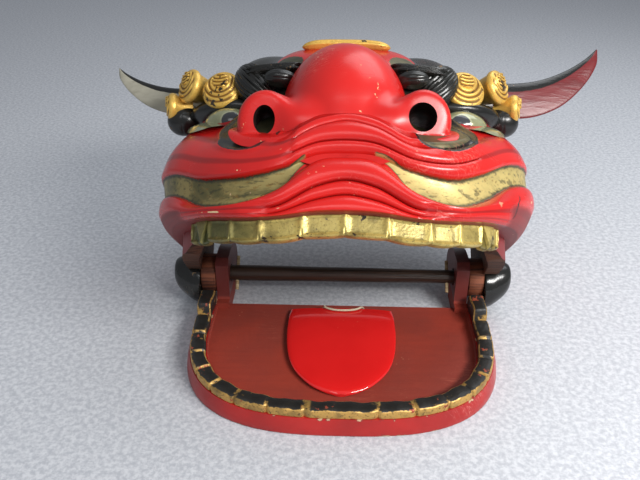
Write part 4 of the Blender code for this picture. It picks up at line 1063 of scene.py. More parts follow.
# %% Black lacquer and gilding
def make_black_lacquer(name, wear=0.5, roughness=0.16):
    material, tree, shader = start_material(name)
    place = object_place(tree)
    chips = use_group(tree, CHIPS, place, Scale=130.0, Edge=0.5, Amount=wear)
    scuffs = use_group(tree, SCUFFS, place, Scale=70.0, Amount=wear)
    cloud = step(tree, noise(tree, place, 30.0), 0.35, 0.7)
    colour = blend_colour(tree, cloud, srgb(20, 20, 19), srgb(32, 32, 29))
    colour = blend_colour(tree, both(tree, scuffs["Scratches"], 0.6), colour, srgb(108, 106, 98))
    colour = blend_colour(tree, chips["Mask"], colour, srgb(120, 92, 60))
    rough = total(tree, roughness, both(tree, noise(tree, place, 24.0), 0.18), both(tree, chips["Rim"], 0.3))
    finish_material(tree, shader, colour, rough, 0.0, noise(tree, place, 90.0, 3.0), 0.30)
    return material


def make_gilding(name, dark_share=0.6, scale=60.0, groove_shade_colour=(104, 64, 22), light=(226, 182, 88),
                 left_painted_shade=0.0):
    """Gold leaf over lacquer: bright on the crests, brown in the grooves as painted shade, black in the worn
    places, and dark green towards the left as painted shade.
    """
    material, tree, shader = start_material(name)
    place = object_place(tree)
    relief = paint_uv(tree)[1]
    tarnish = use_group(tree, TARNISH, place, Scale=scale, Amount=dark_share)
    colour = blend_colour(tree, tarnish["Cloud"], srgb(*light), srgb(150, 132, 74))
    colour = blend_colour(tree, both(tree, tarnish["Speckle"], 0.7), colour, srgb(96, 84, 46))
    # Low relief is painted brown: painted shade in the grooves and sunken panels.
    groove = step(tree, relief, 0.55, 0.15)
    colour = blend_colour(tree, both(tree, groove, 0.85), colour, srgb(*groove_shade_colour))
    # Towards the left the gold is painted dark green: painted shade, for the light falls from the right.
    left_painted_shade_mask = both(tree, step(tree, split_vector(tree, place)[0], -0.045, -0.085), left_painted_shade)
    colour = blend_colour(tree, left_painted_shade_mask, colour, srgb(62, 74, 44))
    chips = use_group(tree, CHIPS, place, Scale=170.0, Edge=0.6, Amount=0.5)
    colour = blend_colour(tree, chips["Mask"], colour, srgb(44, 36, 26))
    rough = calc(tree, "ADD", 0.26, both(tree, noise(tree, place, 60.0), 0.22))
    metal = both(tree, calc(tree, "SUBTRACT", 1.0, either(tree, chips["Mask"], both(tree, groove, 0.5))), 0.45)
    finish_material(tree, shader, colour, rough, metal, noise(tree, place, 500.0, 3.0), 0.3)
    return material


BLACK_LACQUER = make_black_lacquer("black_lacquer", 0.45)
GILDING = make_gilding("curl_gilding", 0.30)

# %% [markdown]
# A curl is a scroll seen on its end: a short round drum whose face is cut with grooves that nest round a
# point near its upper edge. The face's relief is a wave of the distance to that point, and in the small lobe
# round the point it is a wave of the height instead, which gives level bars.

# %% Gilded curls
CURLS = (
    ("inner", (0.1013, 0.0880, 0.1365), 0.0165, (0.25, 0.95, 0.10)),
    ("middle", (0.1278, 0.0765, 0.1462), 0.0145, (0.75, 0.65, 0.05)),
    ("outer", (0.1438, 0.0647, 0.1340), 0.0116, (0.97, 0.25, -0.05)),
)
CURL_HALF_DEPTH = 0.011
CURL_COLUMNS = 112
LOBE_RISE, LOBE_RADIUS = 0.40, 0.44
RING_START, RING_PITCH, BAR_PITCH = 0.50, 0.26, 0.19


def shifted(centre, side):
    """A place on the right side's own side curls and ball, which sit a little further in and up."""
    return np.array(centre) + np.array(RIGHT_SHIFT) * (side > 0)


def curl_grid(centre, radius, face, side):
    """Face rows from the middle outwards with nested grooves, then the rounded rim and the back."""
    centre = shifted(centre, side) * (side, 1, 1)
    axis, across, upward = basis(np.array(face) * (side, 1, 1))
    turn = np.linspace(0, 2 * np.pi, CURL_COLUMNS, endpoint=False)[None, :]
    face_share = np.linspace(0.02, 0.84, 46)[:, None]
    flat_x = face_share * np.cos(turn)
    flat_y = face_share * np.sin(turn)
    far = np.hypot(flat_x, flat_y - LOBE_RISE)
    rings = 0.5 + 0.5 * np.cos(2 * np.pi * (far - RING_START) / RING_PITCH)
    bars = 0.5 + 0.5 * np.cos(2 * np.pi * (flat_y - LOBE_RISE - 0.5 * flat_x ** 2) / BAR_PITCH)
    in_lobe = np.clip((LOBE_RADIUS - far) / 0.06, 0, 1)
    wave = rings * (1 - in_lobe) + bars * in_lobe
    lift = (0.16 * wave ** 0.6 + 0.12 * in_lobe) * np.clip((0.86 - face_share) / 0.10, 0.2, 1)
    rim = np.radians(np.array([62, 48, 34, 18, 0, -20, -45, -70]))[:, None]
    rim_share = 0.80 + 0.22 * np.cos(rim)
    rim_along = 0.55 + 0.35 * np.sin(rim)
    back_share = np.array([0.7, 0.4, 0.05])[:, None]
    share = np.concatenate([np.broadcast_to(face_share, lift.shape), np.repeat(rim_share, CURL_COLUMNS, 1),
                            np.repeat(back_share, CURL_COLUMNS, 1)])
    along = np.concatenate([0.86 + lift, np.repeat(rim_along, CURL_COLUMNS, 1),
                            np.full((3, CURL_COLUMNS), -1.0)])
    relief = np.concatenate([wave, np.full((len(rim) + 3, CURL_COLUMNS), 0.9)])
    points = (centre + axis * (along * CURL_HALF_DEPTH)[..., None]
              + across * (share * radius * np.cos(turn))[..., None]
              + upward * (share * radius * np.sin(turn))[..., None])
    paint = np.stack([np.broadcast_to(turn / (2 * np.pi), relief.shape), relief], axis=-1)
    return tuck(points, 0.005), paint


for word, side in SIDES:
    lobes = []
    for name, centre, radius, face in CURLS:
        points, paint = curl_grid(centre, radius, face, side)
        lobes.append(closed_grid("curl_" + name, place_in_head(points), [GILDING], paint, ROUND_SHARP))
    dress(join_pieces("curls_carved_" + word, lobes), HEAD, "curls_" + word, slot="gilding")

# %% [markdown]
# The brow is a thick slab above a glossy grooved oval, with combed hair fanning from it to the curls, and a
# plain ridge over the eye. All are ellipsoids whose radius is modulated: by ridges along their meridians for
# hair and for the oval, and towards a squarer form for the slab.

# %% Brows
def ellipsoid_grid(centre, radii, long_axis, relief, rows=72, columns=120, side=1):
    """An ellipsoid whose poles lie on long_axis. relief(polar, turn) scales its radius."""
    axis, across, upward = basis(long_axis)
    polar = np.linspace(0, np.pi, rows + 2)[1:-1, None]
    turn = np.linspace(0, 2 * np.pi, columns, endpoint=False)[None, :]
    scale = relief(polar, turn)
    points = (np.array(centre)
              + axis * (radii[0] * np.cos(polar) * scale)[..., None]
              + across * (radii[1] * np.sin(polar) * np.cos(turn) * scale)[..., None]
              + upward * (radii[2] * np.sin(polar) * np.sin(turn) * scale)[..., None])
    return tuck(points * (side, 1, 1))


def no_relief(polar, turn):
    return 1.0 + 0 * polar * turn


def hair_relief(polar, turn):
    """Rounded strands with sharp grooves between them, fading at the poles."""
    strands = np.abs(np.sin(13 * turn + 0.25 * np.sin(3 * polar)))
    return 1 - 0.085 * (1 - strands ** 0.6) * np.sin(polar) ** 0.5


def oval_relief(polar, turn):
    """A few grooves along the oval."""
    return 1 - 0.07 * (1 - np.abs(np.sin(3.5 * turn)) ** 0.5) * np.sin(polar) ** 0.5


def slab_relief(polar, turn):
    """A squared section and blunt ends, with long grooves along the front edge."""
    section = (np.abs(np.cos(turn)) ** 4 + np.abs(np.sin(turn)) ** 4) ** -0.25
    ends = (np.abs(np.cos(polar)) ** 4 + np.abs(np.sin(polar)) ** 4) ** -0.25
    return section * ends * (1 - 0.03 * (1 - np.abs(np.sin(12 * turn)) ** 0.5) * np.sin(polar))


BROW_FORMS = (
    ("hair", (0.072, 0.099, 0.138), (0.0225, 0.0200, 0.0165), (0.7, -0.1, 0.7), hair_relief),
    ("slab", (0.0570, 0.1115, 0.1455), (0.0205, 0.0120, 0.0038), (1.0, -0.10, -0.06), slab_relief),
    ("oval", (0.0518, 0.124, 0.1345), (0.0128, 0.0092, 0.0070), (1.0, 0.15, 0.0), oval_relief),
    ("socket", (0.102, 0.074, 0.1245), (0.034, 0.022, 0.0110), (1.0, -0.6, 0.02), no_relief),
)
for word, side in SIDES:
    forms = [closed_grid("brow_" + name, place_in_head(ellipsoid_grid(*form, side=side)), [BLACK_LACQUER],
                         sharp=ROUND_SHARP) for name, *form in BROW_FORMS]
    dress(join_pieces("brow_carved_" + word, forms), HEAD, "brow_" + word, slot="black_lacquer")

# %% [markdown]
# The eyes are bulging and painted, not glass: a dark glossy pupil on a pale gold-green white. The paint is
# set by the angle from the direction that the eye looks.

# %% Eyes and the balls below the curls
def make_eye_paint():
    material, tree, shader = start_material("painted_eye")
    place = object_place(tree)
    edge = calc(tree, "ADD", paint_uv(tree)[0], wander(tree, place, 300.0, 0.02))
    pupil = step(tree, edge, 0.130, 0.122)
    ring = both(tree, step(tree, edge, 0.118, 0.126), step(tree, edge, 0.150, 0.142))
    tarnish = use_group(tree, TARNISH, place, Scale=50.0, Amount=0.5)
    white = blend_colour(tree, tarnish["Cloud"], srgb(156, 158, 122), srgb(104, 112, 82))
    colour = blend_colour(tree, pupil, white, srgb(58, 60, 64))
    colour = blend_colour(tree, ring, colour, srgb(176, 178, 146))
    rough = calc(tree, "ADD", 0.12, both(tree, noise(tree, place, 40.0), 0.1))
    finish_material(tree, shader, colour, rough, both(tree, calc(tree, "SUBTRACT", 1.0, pupil), 0.25), coat=0.5)
    return material


EYE_PAINT = make_eye_paint()
EYE_AXIS = (0.82, -0.57, 0.0)
EYE_LOOK = (-0.20, 0.97, -0.10)
BALL_CENTRE = (0.1400, 0.0580, 0.1250)
BALL_RADII = (0.0145, 0.0150, 0.0138)
BALL_AXIS = (0.0, 1.0, 0.01)


def ball_relief(polar, turn):
    """A squarish roundness, as a ball cut with few strokes of a chisel."""
    return 1 + 0.05 * np.abs(np.sin(2 * turn)) * np.sin(polar)


for word, side in SIDES:
    points = ellipsoid_grid(EYE_CENTRE, EYE_RADII, EYE_AXIS, no_relief, side=side)
    look = np.array(EYE_LOOK) * (side, 1, 1)
    direction = points - np.array(EYE_CENTRE) * (side, 1, 1)
    cosine = (direction @ look) / (np.linalg.norm(direction, axis=-1) * np.linalg.norm(look) + 1e-9)
    away = np.arccos(np.clip(cosine, -1, 1)) / np.pi
    paint = np.stack([away, np.ones_like(away)], axis=-1)
    eye = closed_grid("eye_painted_" + word, place_in_head(points), [EYE_PAINT], paint)
    dress(eye, HEAD, "eye_" + word, slot="black_lacquer")
    ball_points = ellipsoid_grid(shifted(BALL_CENTRE, side), BALL_RADII, BALL_AXIS, ball_relief, side=side)
    ball = closed_grid("side_ball_carved_" + word, place_in_head(ball_points), [BLACK_LACQUER])
    dress(ball, HEAD, "side_ball_" + word, slot="black_lacquer")

# %% [markdown]
# The ears are horn-shaped tongues of wood. Their upper edge and back are black, and their hollowed face is
# dark red on one side. On the other side the face is painted pale grey-brown, a painted reflection of glare
# on red lacquer. Sections shrink and turn along the ear, and the face is pressed in.

# %% Ears
EAR_ROOT = (0.118, 0.040, 0.147)
# Each ear: its side, then its reach, rise, sweep back, half height, half thickness and lift at the root.
EARS = (
    ("left", -1, 0.094, 0.036, 0.012, 0.0130, 0.0085, 0.0040),
    ("right", 1, 0.115, 0.0555, 0.010, 0.0175, 0.0070, 0.0085),
)
# Along an ear: the shares of its reach, rise, half height and half thickness.
EAR_STATIONS = (
    (-0.16, 0.02, 0.85, 1.00),
    (0.00, 0.02, 0.85, 1.00),
    (0.15, 0.00, 0.95, 1.00),
    (0.38, 0.03, 1.00, 0.95),
    (0.60, 0.18, 0.88, 0.80),
    (0.80, 0.46, 0.62, 0.60),
    (0.94, 0.76, 0.34, 0.40),
    (1.00, 1.00, 0.04, 0.10),
)
EAR_ROLL = np.radians(62)


def smooth_columns(table, rows):
    """A table's columns resampled to more rows, each by a smooth cubic through the table's own rows."""
    table = np.asarray(table, dtype=float)
    key = np.linspace(0, len(table) - 1, rows)
    result = []
    for column in table.T:
        slopes = np.gradient(column)
        index = np.clip(key.astype(int), 0, len(column) - 2)
        result.append(hermite(key - index, column[index], column[index + 1],
                              slopes[index], slopes[index + 1]))
    return np.stack(result, axis=-1)


def ear_grid(side, reach, rise, back, half_height, half_thickness, lift, rows=90, columns=96):
    """Elliptical sections along the ear, pressed in on the front face."""
    out, up, tall_share, thick_share = (c[:, None] for c in smooth_columns(EAR_STATIONS, rows).T)
    turn = np.linspace(-np.pi, np.pi, columns, endpoint=False)[None, :]
    tall = np.maximum(tall_share * half_height, 0.0003)
    thick = np.maximum(thick_share * half_thickness, 0.0003)
    front = np.clip(np.cos(turn + 0.45), 0, 1)
    hollow = 0.55 * thick * front ** 2 * np.clip(out * 4, 0, 1) * np.clip((1.02 - out) * 6, 0, 1)
    roll = EAR_ROLL * out
    edge = np.sign(np.sin(turn)) * np.abs(np.sin(turn)) ** 0.9
    points = vectors(side * (EAR_ROOT[0] + out * reach) - side * tall * edge * np.sin(roll),
                     EAR_ROOT[1] - out * back + thick * np.cos(turn) - hollow,
                     EAR_ROOT[2] + lift + up * rise + tall * edge * np.cos(roll))
    return tuck(points, 0.005), vectors(turn / (2 * np.pi) + 0.5, out)


def make_ear_paint(name, face_light, face_dark, dullness):
    material, tree, shader = start_material(name)
    place = object_place(tree)
    split = paint_uv(tree)
    ragged = wander(tree, place, 200.0, 0.015)
    turn = calc(tree, "ADD", split[0], ragged)
    face = both(tree, step(tree, turn, 0.215, 0.225), step(tree, turn, 0.565, 0.555))
    face = both(tree, face, step(tree, calc(tree, "ADD", split[1], both(tree, ragged, 2.0)), 0.10, 0.13))
    grain = use_group(tree, GRAIN, place, Scale=150.0, Stretch=0.1)["Mask"]
    tint = blend_colour(tree, both(tree, grain, 0.6), face_light, face_dark)
    colour = blend_colour(tree, face, srgb(28, 28, 27), tint)
    chips = use_group(tree, CHIPS, place, Scale=140.0, Edge=0.5, Amount=0.4)
    colour = blend_colour(tree, chips["Mask"], colour, srgb(140, 116, 90))
    rough = total(tree, 0.18, both(tree, face, dullness), both(tree, noise(tree, place, 40.0), 0.12))
    finish_material(tree, shader, colour, rough, 0.0, grain, 0.12)
    return material


# The left ear's pale grey-brown face is a painted reflection of glare on red lacquer.
EAR_PAINTS = {"left": make_ear_paint("ear_painted_glare", srgb(168, 164, 148), srgb(138, 134, 118), 0.40),
              "right": make_ear_paint("ear_dark_red", srgb(108, 24, 28), srgb(84, 18, 22), 0.10)}
for word, side, *sizes in EARS:
    points, paint = ear_grid(side, *sizes)
    ear = closed_grid("ear_carved_" + word, place_in_head(points), [EAR_PAINTS[word]], paint, ROUND_SHARP)
    dress(ear, HEAD, "ear_" + word, slot="black_lacquer")

# %% [markdown]
# The upper teeth are a single gilded bar that follows the gum. Each tooth has a sunken panel, a bright bead
# between it and the next, and a bevelled lower edge; the corner has a pointed fang. The front's relief is a
# function of the place along a tooth and the height on it.

# %% Upper teeth
TOOTH_ANGLES = (0.0, 7.6, 15.3, 21.3, 27.0, 31.0, 33.4)
TOOTH_HEIGHT = 0.0155
TOOTH_INSET = 0.006
TOOTH_THICKNESS = 0.0075


def tooth_relief(angle, share):
    """How far the front stands out, in metres, by degrees along the row and share of the height from the top."""
    wide = np.abs(angle)
    bounds = np.array(TOOTH_ANGLES)
    index = np.clip(np.searchsorted(bounds, wide, side="right") - 1, 0, len(bounds) - 2)
    place = (wide - bounds[index]) / (bounds[index + 1] - bounds[index])
    to_edge = np.minimum(place, 1 - place)
    bead = np.exp(-(to_edge / 0.10) ** 2)
    frame_low = np.exp(-((share - 0.93) / 0.10) ** 2)
    frame_top = np.exp(-((share - 0.03) / 0.06) ** 2)
    panel = -0.0012 + 0.0018 * np.maximum(np.maximum(bead, frame_low), 0.6 * frame_top)
    notch = -0.0016 * np.exp(-(to_edge / 0.025) ** 2) * np.clip(share - 0.55, 0, 1) * 2
    inside = np.clip((1.04 - share - np.abs(place - 0.5) * 2) / 0.10, 0, 1)
    fang = (index == 4) * (0.0034 * inside - 0.0026)
    wedge = (index == 5) * (-0.0020 * np.clip(1 - place * 2 / np.maximum(share, 0.05), 0, 1))
    return np.where(index == 4, fang + 0.0006, panel + notch) + wedge, place, index


def upper_teeth_grid(columns=560, rows=26):
    """Sections along the gum line: a relief-cut front, a bevelled lower edge, an underside and a back."""
    degrees = np.linspace(-TOOTH_ANGLES[-1], TOOTH_ANGLES[-1], columns)[:, None]
    angle = np.radians(degrees)
    share = np.linspace(0, 1, rows)[None, :]
    relief, place, index = tooth_relief(degrees, share)
    top = FOLD_ZONE * along_stations(angle, FOLDS[0][2])
    scallop = 0.0012 * np.sin(np.pi * place) ** 0.6
    fang_drop = np.where(index == 4, 0.0012, 0.0)
    bottom = top - TOOTH_HEIGHT + 0.0012 - scallop - fang_drop
    level = top + (bottom - top) * share
    base = skull_radius(angle, top) - TOOTH_INSET
    round_low = 0.0022 * np.clip((share - 0.90) / 0.10, 0, 1) ** 2
    front = base + relief - round_low
    low = bottom[:, :1]
    back = np.broadcast_to(base[:, :1], low.shape) - TOOTH_THICKNESS
    radius = np.concatenate([back, front, base[:, :1] - 0.0034 + 0 * low, back], axis=1)
    height = np.concatenate([top + 0 * low, level, low + 0 * back, low], axis=1)
    points = head_world(radius * np.sin(angle), radius * np.cos(angle) - REAR_RIM, height)
    depth = (relief + 0.0022) / 0.003
    shade = np.concatenate([0 * low + 1, depth, 0 * low + 1, 0 * low + 1], axis=1)
    along = np.broadcast_to(degrees / 90 + 0.5, shade.shape)
    return points, np.stack([along, shade], axis=-1)


# The teeth's sunken panels get painted shade in brown, and the left teeth painted shade in dark green.
TOOTH_GILDING = make_gilding("tooth_gilding", 0.9, 90.0, (84, 76, 36), (210, 188, 108), 0.7)
teeth_points, teeth_paint = upper_teeth_grid()
upper_teeth = closed_grid("upper_teeth_carved", teeth_points, [TOOTH_GILDING], teeth_paint, np.radians(50))
dress(upper_teeth, HEAD, "upper_teeth", slot="gilding")

# %% [markdown]
# A low gilded crest lies across the forehead, following its curve.

# %% Crest
CREST_FORWARD = 0.078
CREST_HALF_SPAN = 0.038
CREST_RADIUS = 0.0044
CREST_SUNK = 0.002


def crest_grid(rows=80, columns=40):
    """Circles flattened along the way ahead, on the line where the skull crosses the crest's plane."""
    share = np.linspace(-1, 1, rows)[:, None]
    turn = np.linspace(0, 2 * np.pi, columns, endpoint=False)[None, :]
    side = share * CREST_HALF_SPAN
    angle = np.arctan2(side, CREST_FORWARD + REAR_RIM)
    power = side_exponent(angle)
    plan = skull_radius(angle, 0 * angle)
    inward = np.hypot(side, CREST_FORWARD + REAR_RIM) / plan
    level = HEIGHT * (1 - inward ** power) ** (1 / power)
    radius = CREST_RADIUS * np.maximum(0.10, (1 - share ** 6) ** 0.6)
    ridges = 1 + 0.10 * np.abs(np.sin(4 * turn))
    return vectors(side, CREST_FORWARD + 1.5 * radius * ridges * np.cos(turn),
                   level - CREST_SUNK + radius * np.sin(turn))


crest_points = crest_grid()
crest_paint = np.ones(crest_points.shape[:2] + (2,))
crest = closed_grid("crest_carved", place_in_head(crest_points), [GILDING], crest_paint)
dress(crest, HEAD, "crest", slot="gilding")

# %% [markdown]
# At the hinge, a bare wooden block inside each cheek and a black lacquered knob outside it hold the ends of
# the rod. The rod is a turned stick of dark wood, pinned so that it can't slide out of the jaw's arms.

# %% Hinge: knobs, blocks, rod and pins
KNOB_SECTIONS = ((0.00, 0.97, 0.0), (0.06, 1.00, 0.0), (0.30, 0.97, 1.0), (0.55, 0.86, 0.9), (0.80, 0.70, 0.8),
                 (0.95, 0.52, 0.7), (1.00, 0.34, 0.6))
ROD_END = KNOB_INNER + 0.009
ROD_LEFT, ROD_RIGHT = 0.0074, 0.0060
ROD_WANDER = 0.00015
ARM_INNER, ARM_OUTER = 0.1015, 0.1128
BLOCK_EDGE = 0.0008
PIN_PLACE = ARM_INNER - 0.006
PIN_RADIUS = 0.0016
PIN_PAST_ROD = 0.0085


def make_rod_wood():
    material, tree, shader = start_material("rod_wood")
    place = object_place(tree)
    grain = use_group(tree, GRAIN, place, Scale=420.0, Stretch=0.03)["Mask"]
    cloud = step(tree, noise(tree, mapped(tree, place, (0.3, 1.0, 1.0)), 30.0), 0.35, 0.7)
    colour = blend_colour(tree, grain, srgb(74, 52, 38), srgb(34, 24, 18))
    colour = blend_colour(tree, cloud, colour, srgb(52, 36, 26))
    finish_material(tree, shader, colour, 0.45, height=grain, bump=0.3)
    return material


ROD_WOOD = make_rod_wood()
BLOCK_WOOD = make_bare_wood("block_wood", srgb(140, 78, 50), srgb(70, 34, 22))
PIN_WOOD = make_bare_wood("pin_wood", srgb(206, 186, 146), srgb(150, 122, 84))
KNOB_LACQUER = make_black_lacquer("knob_lacquer", 0.6, 0.10)

for word, side in SIDES:
    share, size, rise = smooth_columns(KNOB_SECTIONS, 60).T
    stations = [(side * (KNOB_INNER + a * (KNOB_OUTER - KNOB_INNER)), s * KNOB_RADIUS,
                 (1 - s) * r * KNOB_RADIUS - KNOB_DROP) for a, s, r in zip(np.clip(share, 0, 1), size, rise)]
    knob = closed_grid("knob_carved_" + word, wheel_grid(stations, 0.0), [KNOB_LACQUER], sharp=CARVED_SHARP)
    dress(knob, HEAD, "knob_" + word, slot="black_lacquer")
    low, high = ARM_OUTER + CLEAR, KNOB_INNER - CLEAR / 2
    block_rows = [
        (side * low, BLOCK_RADIUS - BLOCK_EDGE, 0.0),
        (side * (low + BLOCK_EDGE), BLOCK_RADIUS, 0.0),
        (side * (high - BLOCK_EDGE), BLOCK_RADIUS, 0.0),
        (side * high, BLOCK_RADIUS - BLOCK_EDGE, 0.0),
    ]
    block = closed_grid("hinge_block_bare_" + word, wheel_grid(block_rows, 0.0), [BLOCK_WOOD])
    dress(block, HEAD, "hinge_block_" + word, slot="dark_wood")

rod_places = np.linspace(-1, 1, 80)
rod_wander = ROD_WANDER * np.sin(rod_places * 9)
rod_rows = [(place * ROD_END, ROD_LEFT + (ROD_RIGHT - ROD_LEFT) * (place + 1) / 2 + wander, 0.0)
            for place, wander in zip(rod_places, rod_wander)]
rod = closed_grid("hinge_rod_turned", wheel_grid(rod_rows, 0.0, 48), [ROD_WOOD])
dress(rod, HEAD, "hinge_rod", slot="dark_wood")

for word, side in SIDES:
    rod_radius = ROD_LEFT + (ROD_RIGHT - ROD_LEFT) * (side * PIN_PLACE / ROD_END + 1) / 2
    reach = rod_radius + PIN_PAST_ROD
    along = np.array([-1.0, -0.985, -0.5, 0.0, 0.5, 0.985, 1.0])[:, None] * reach
    taper = np.array([0.75, 1.0, 1.0, 1.0, 1.0, 1.0, 0.75])[:, None]
    turn = np.linspace(0, 2 * np.pi, 16, endpoint=False)[None, :]
    split = 1 - 0.25 * np.exp(-((turn - np.pi) / 0.3) ** 2)
    pin_points = head_world(side * PIN_PLACE + PIN_RADIUS * taper * split * np.cos(turn),
                            PIN_RADIUS * taper * split * np.sin(turn), along + 0 * turn)
    pin = closed_grid("rod_pin_split_" + word, pin_points, [PIN_WOOD])
    dress(pin, HEAD, "rod_pin_" + word, slot="dark_wood")

# %% [markdown]
# The lower jaw is a flat tray with a thick rounded wall. Its outside is glossy red and worn on the corners,
# and its floor is a matte red-brown. It is lofted through a few outlines, hollowed, and joined to the two
# arms that stand at its rear. A small bevel catches the light along its edges.

# %% Paint of the jaw
def make_jaw_paint():
    material, tree, shader = start_material("jaw_red_paint")
    place = object_place(tree)
    cloud = step(tree, noise(tree, place, 16.0, 4.0), 0.3, 0.7)
    grain = use_group(tree, GRAIN, place, Scale=200.0, Stretch=0.12)["Mask"]
    colour = blend_colour(tree, cloud, srgb(152, 54, 38), srgb(132, 50, 38))
    colour = blend_colour(tree, both(tree, grain, 0.18), colour, srgb(108, 40, 30))
    arm = step(tree, split_vector(tree, place)[2], 0.0150, 0.0170)
    colour = blend_colour(tree, arm, colour, srgb(104, 44, 40))
    scuffs = use_group(tree, SCUFFS, place, Scale=26.0, Amount=1.0)
    colour = blend_colour(tree, both(tree, scuffs["Scratches"], 0.35), colour, srgb(176, 92, 72))
    colour = blend_colour(tree, both(tree, scuffs["Specks"], 0.5), colour, srgb(186, 116, 88))
    rough = calc(tree, "ADD", 0.54, both(tree, noise(tree, place, 30.0), 0.14))
    rough = calc(tree, "SUBTRACT", rough, both(tree, arm, 0.22))
    finish_material(tree, shader, colour, rough, height=noise(tree, place, 260.0, 4.0), bump=0.25)
    return material


def make_jaw_gloss():
    """The glossy outside of the jaw's wall, with chips along its top and bottom edges."""
    material, tree, shader = start_material("jaw_red_gloss")
    place = object_place(tree)
    level = split_vector(tree, place)[2]
    edge = both(tree, step(tree, level, 0.0115, 0.0135), step(tree, level, 0.0160, 0.0150))
    edge = either(tree, edge, step(tree, level, 0.0025, 0.0005))
    cloud = step(tree, noise(tree, place, 20.0, 4.0), 0.3, 0.7)
    colour = blend_colour(tree, cloud, srgb(180, 34, 30), srgb(150, 28, 26))
    chips = use_group(tree, CHIPS, place, Scale=110.0, Edge=edge, Amount=0.42)
    colour = blend_colour(tree, chips["Rim"], colour, srgb(128, 40, 40))
    colour = blend_colour(tree, chips["Mask"], colour, srgb(196, 164, 130))
    scuffs = use_group(tree, SCUFFS, place, Scale=50.0, Amount=1.0)
    colour = blend_colour(tree, both(tree, scuffs["Scratches"], 0.5), colour, srgb(226, 150, 140))
    rough = total(tree, 0.24, both(tree, noise(tree, place, 40.0), 0.16), both(tree, chips["Rim"], 0.25))
    finish_material(tree, shader, colour, rough, 0.0, noise(tree, place, 70.0, 3.0), 0.4)
    return material


JAW_PAINT = make_jaw_paint()
JAW_GLOSS = make_jaw_gloss()

# %% Jaw tray and arms
JAW_HALF_WIDTH = 0.1290
JAW_FRONT = 0.170
JAW_REAR = 0.018
JAW_ROUND = 0.115
JAW_EXPONENT = 2.8
WALL_HEIGHT = 0.0140
WALL_LEAN = 0.003
WALL = 0.0165
FLOOR_THICKNESS = 0.009
ARM_TOP = 0.053
ARM_FRONT = 0.016
ARM_BACK = 0.042
ARM_HEEL = 0.016
OUTLINE_POINTS = 241
BORE_RADIUS = 0.0082
BORE_PAST = 0.01
BEVEL_WIDTH = 0.0007
SMALL = 0.0010
WALL_ROWS = ((0.0009, 0.0), (0.0002, 0.0007), (0.0, 0.0020), (0.0006, 0.0060), (0.0018, 0.0105),
             (WALL_LEAN, WALL_HEIGHT))
TRAY_ROWS = ((WALL + SMALL, FLOOR_THICKNESS), (WALL, FLOOR_THICKNESS + SMALL), (WALL, WALL_HEIGHT + 0.03))
TRAY_REAR = -0.03


def jaw_outline(inset=0.0, rear=JAW_REAR, points=OUTLINE_POINTS):
    """Half superellipse in plan from the left rear corner round the front to the right rear corner."""
    turn = np.radians(np.linspace(-90, 90, points - 2))
    power = 2 / JAW_EXPONENT
    side = (JAW_HALF_WIDTH - inset) * np.sign(np.sin(turn)) * np.abs(np.sin(turn)) ** power
    forward = JAW_FRONT - JAW_ROUND + (JAW_ROUND - inset) * np.abs(np.cos(turn)) ** power
    side = np.concatenate([side[:1], side, side[-1:]])
    return side, np.concatenate([[rear], forward, [rear]])


def outline_stack(rows, rear=JAW_REAR):
    """Outlines at several insets and levels as one grid whose columns wrap across the rear."""
    grid = []
    for inset, level in rows:
        side, forward = jaw_outline(inset, rear)
        grid.append(jaw_world(side, forward, level))
    return np.stack(grid)


def arm_outline():
    """A foot on the floor, a post in front of the rod, a round back and a flat heel below it."""
    chamfer = ARM_FRONT * 0.35
    ledge = WALL_HEIGHT - 0.0003
    turn = np.radians(np.linspace(90, 270, 31))
    middle = ARM_TOP / 2
    back = np.stack([ARM_BACK * np.cos(turn), middle + middle * np.sin(turn)], axis=-1)
    back[-1, 0] = -ARM_HEEL
    front = np.array([(JAW_REAR + 0.007, 0.0), (JAW_REAR + 0.007, ledge), (JAW_REAR, ledge),
                      (ARM_FRONT, ledge + chamfer), (ARM_FRONT, ARM_TOP - chamfer),
                      (ARM_FRONT - chamfer, ARM_TOP)])
    return np.concatenate([front, back])


def prism(name, outline, low, high, materials):
    """A flat outline of (forward, up) points drawn out along X, with one flat face at each end."""
    count = len(outline)
    ends = [jaw_world(place, outline[:, 0], outline[:, 1]) for place in (low, high)]
    faces = [[i, (i + 1) % count, count + (i + 1) % count, count + i] for i in range(count)]
    faces += [list(range(count))[::-1], list(range(count, 2 * count))]
    mesh = bpy.data.meshes.new(name)
    mesh.from_pydata(np.concatenate(ends).tolist(), [], faces)
    work = bmesh.new()
    work.from_mesh(mesh)
    bmesh.ops.recalc_face_normals(work, faces=work.faces)
    work.to_mesh(mesh)
    work.free()
    for material in materials:
        mesh.materials.append(material)
    piece = bpy.data.objects.new(name, mesh)
    bpy.context.collection.objects.link(piece)
    return piece


jaw = closed_grid("jaw_carved", outline_stack(WALL_ROWS), [JAW_GLOSS])
carve(jaw, closed_grid("tray_tool", outline_stack(TRAY_ROWS, TRAY_REAR), [JAW_PAINT]))
for side in (-1, 1):
    carve(jaw, prism("arm_tool", arm_outline(), side * ARM_INNER, side * ARM_OUTER, [JAW_PAINT]), "UNION")
    bore_rows = [(side * place, BORE_RADIUS, 0.0) for place in (ARM_INNER - BORE_PAST, ARM_OUTER + BORE_PAST)]
    carve(jaw, closed_grid("bore_tool", wheel_grid(bore_rows, 0.0, 48), [JAW_PAINT]))
bevel = jaw.modifiers.new("bevel", "BEVEL")
bevel.width = BEVEL_WIDTH
bevel.segments = 3
bevel.limit_method = "ANGLE"
bevel.angle_limit = np.radians(50)
bevel.use_clamp_overlap = True
jaw.data.shade_smooth()
jaw.data.set_sharp_from_angle(angle=np.radians(35))
dress(jaw, JAW, "jaw", slot="jaw_paint")

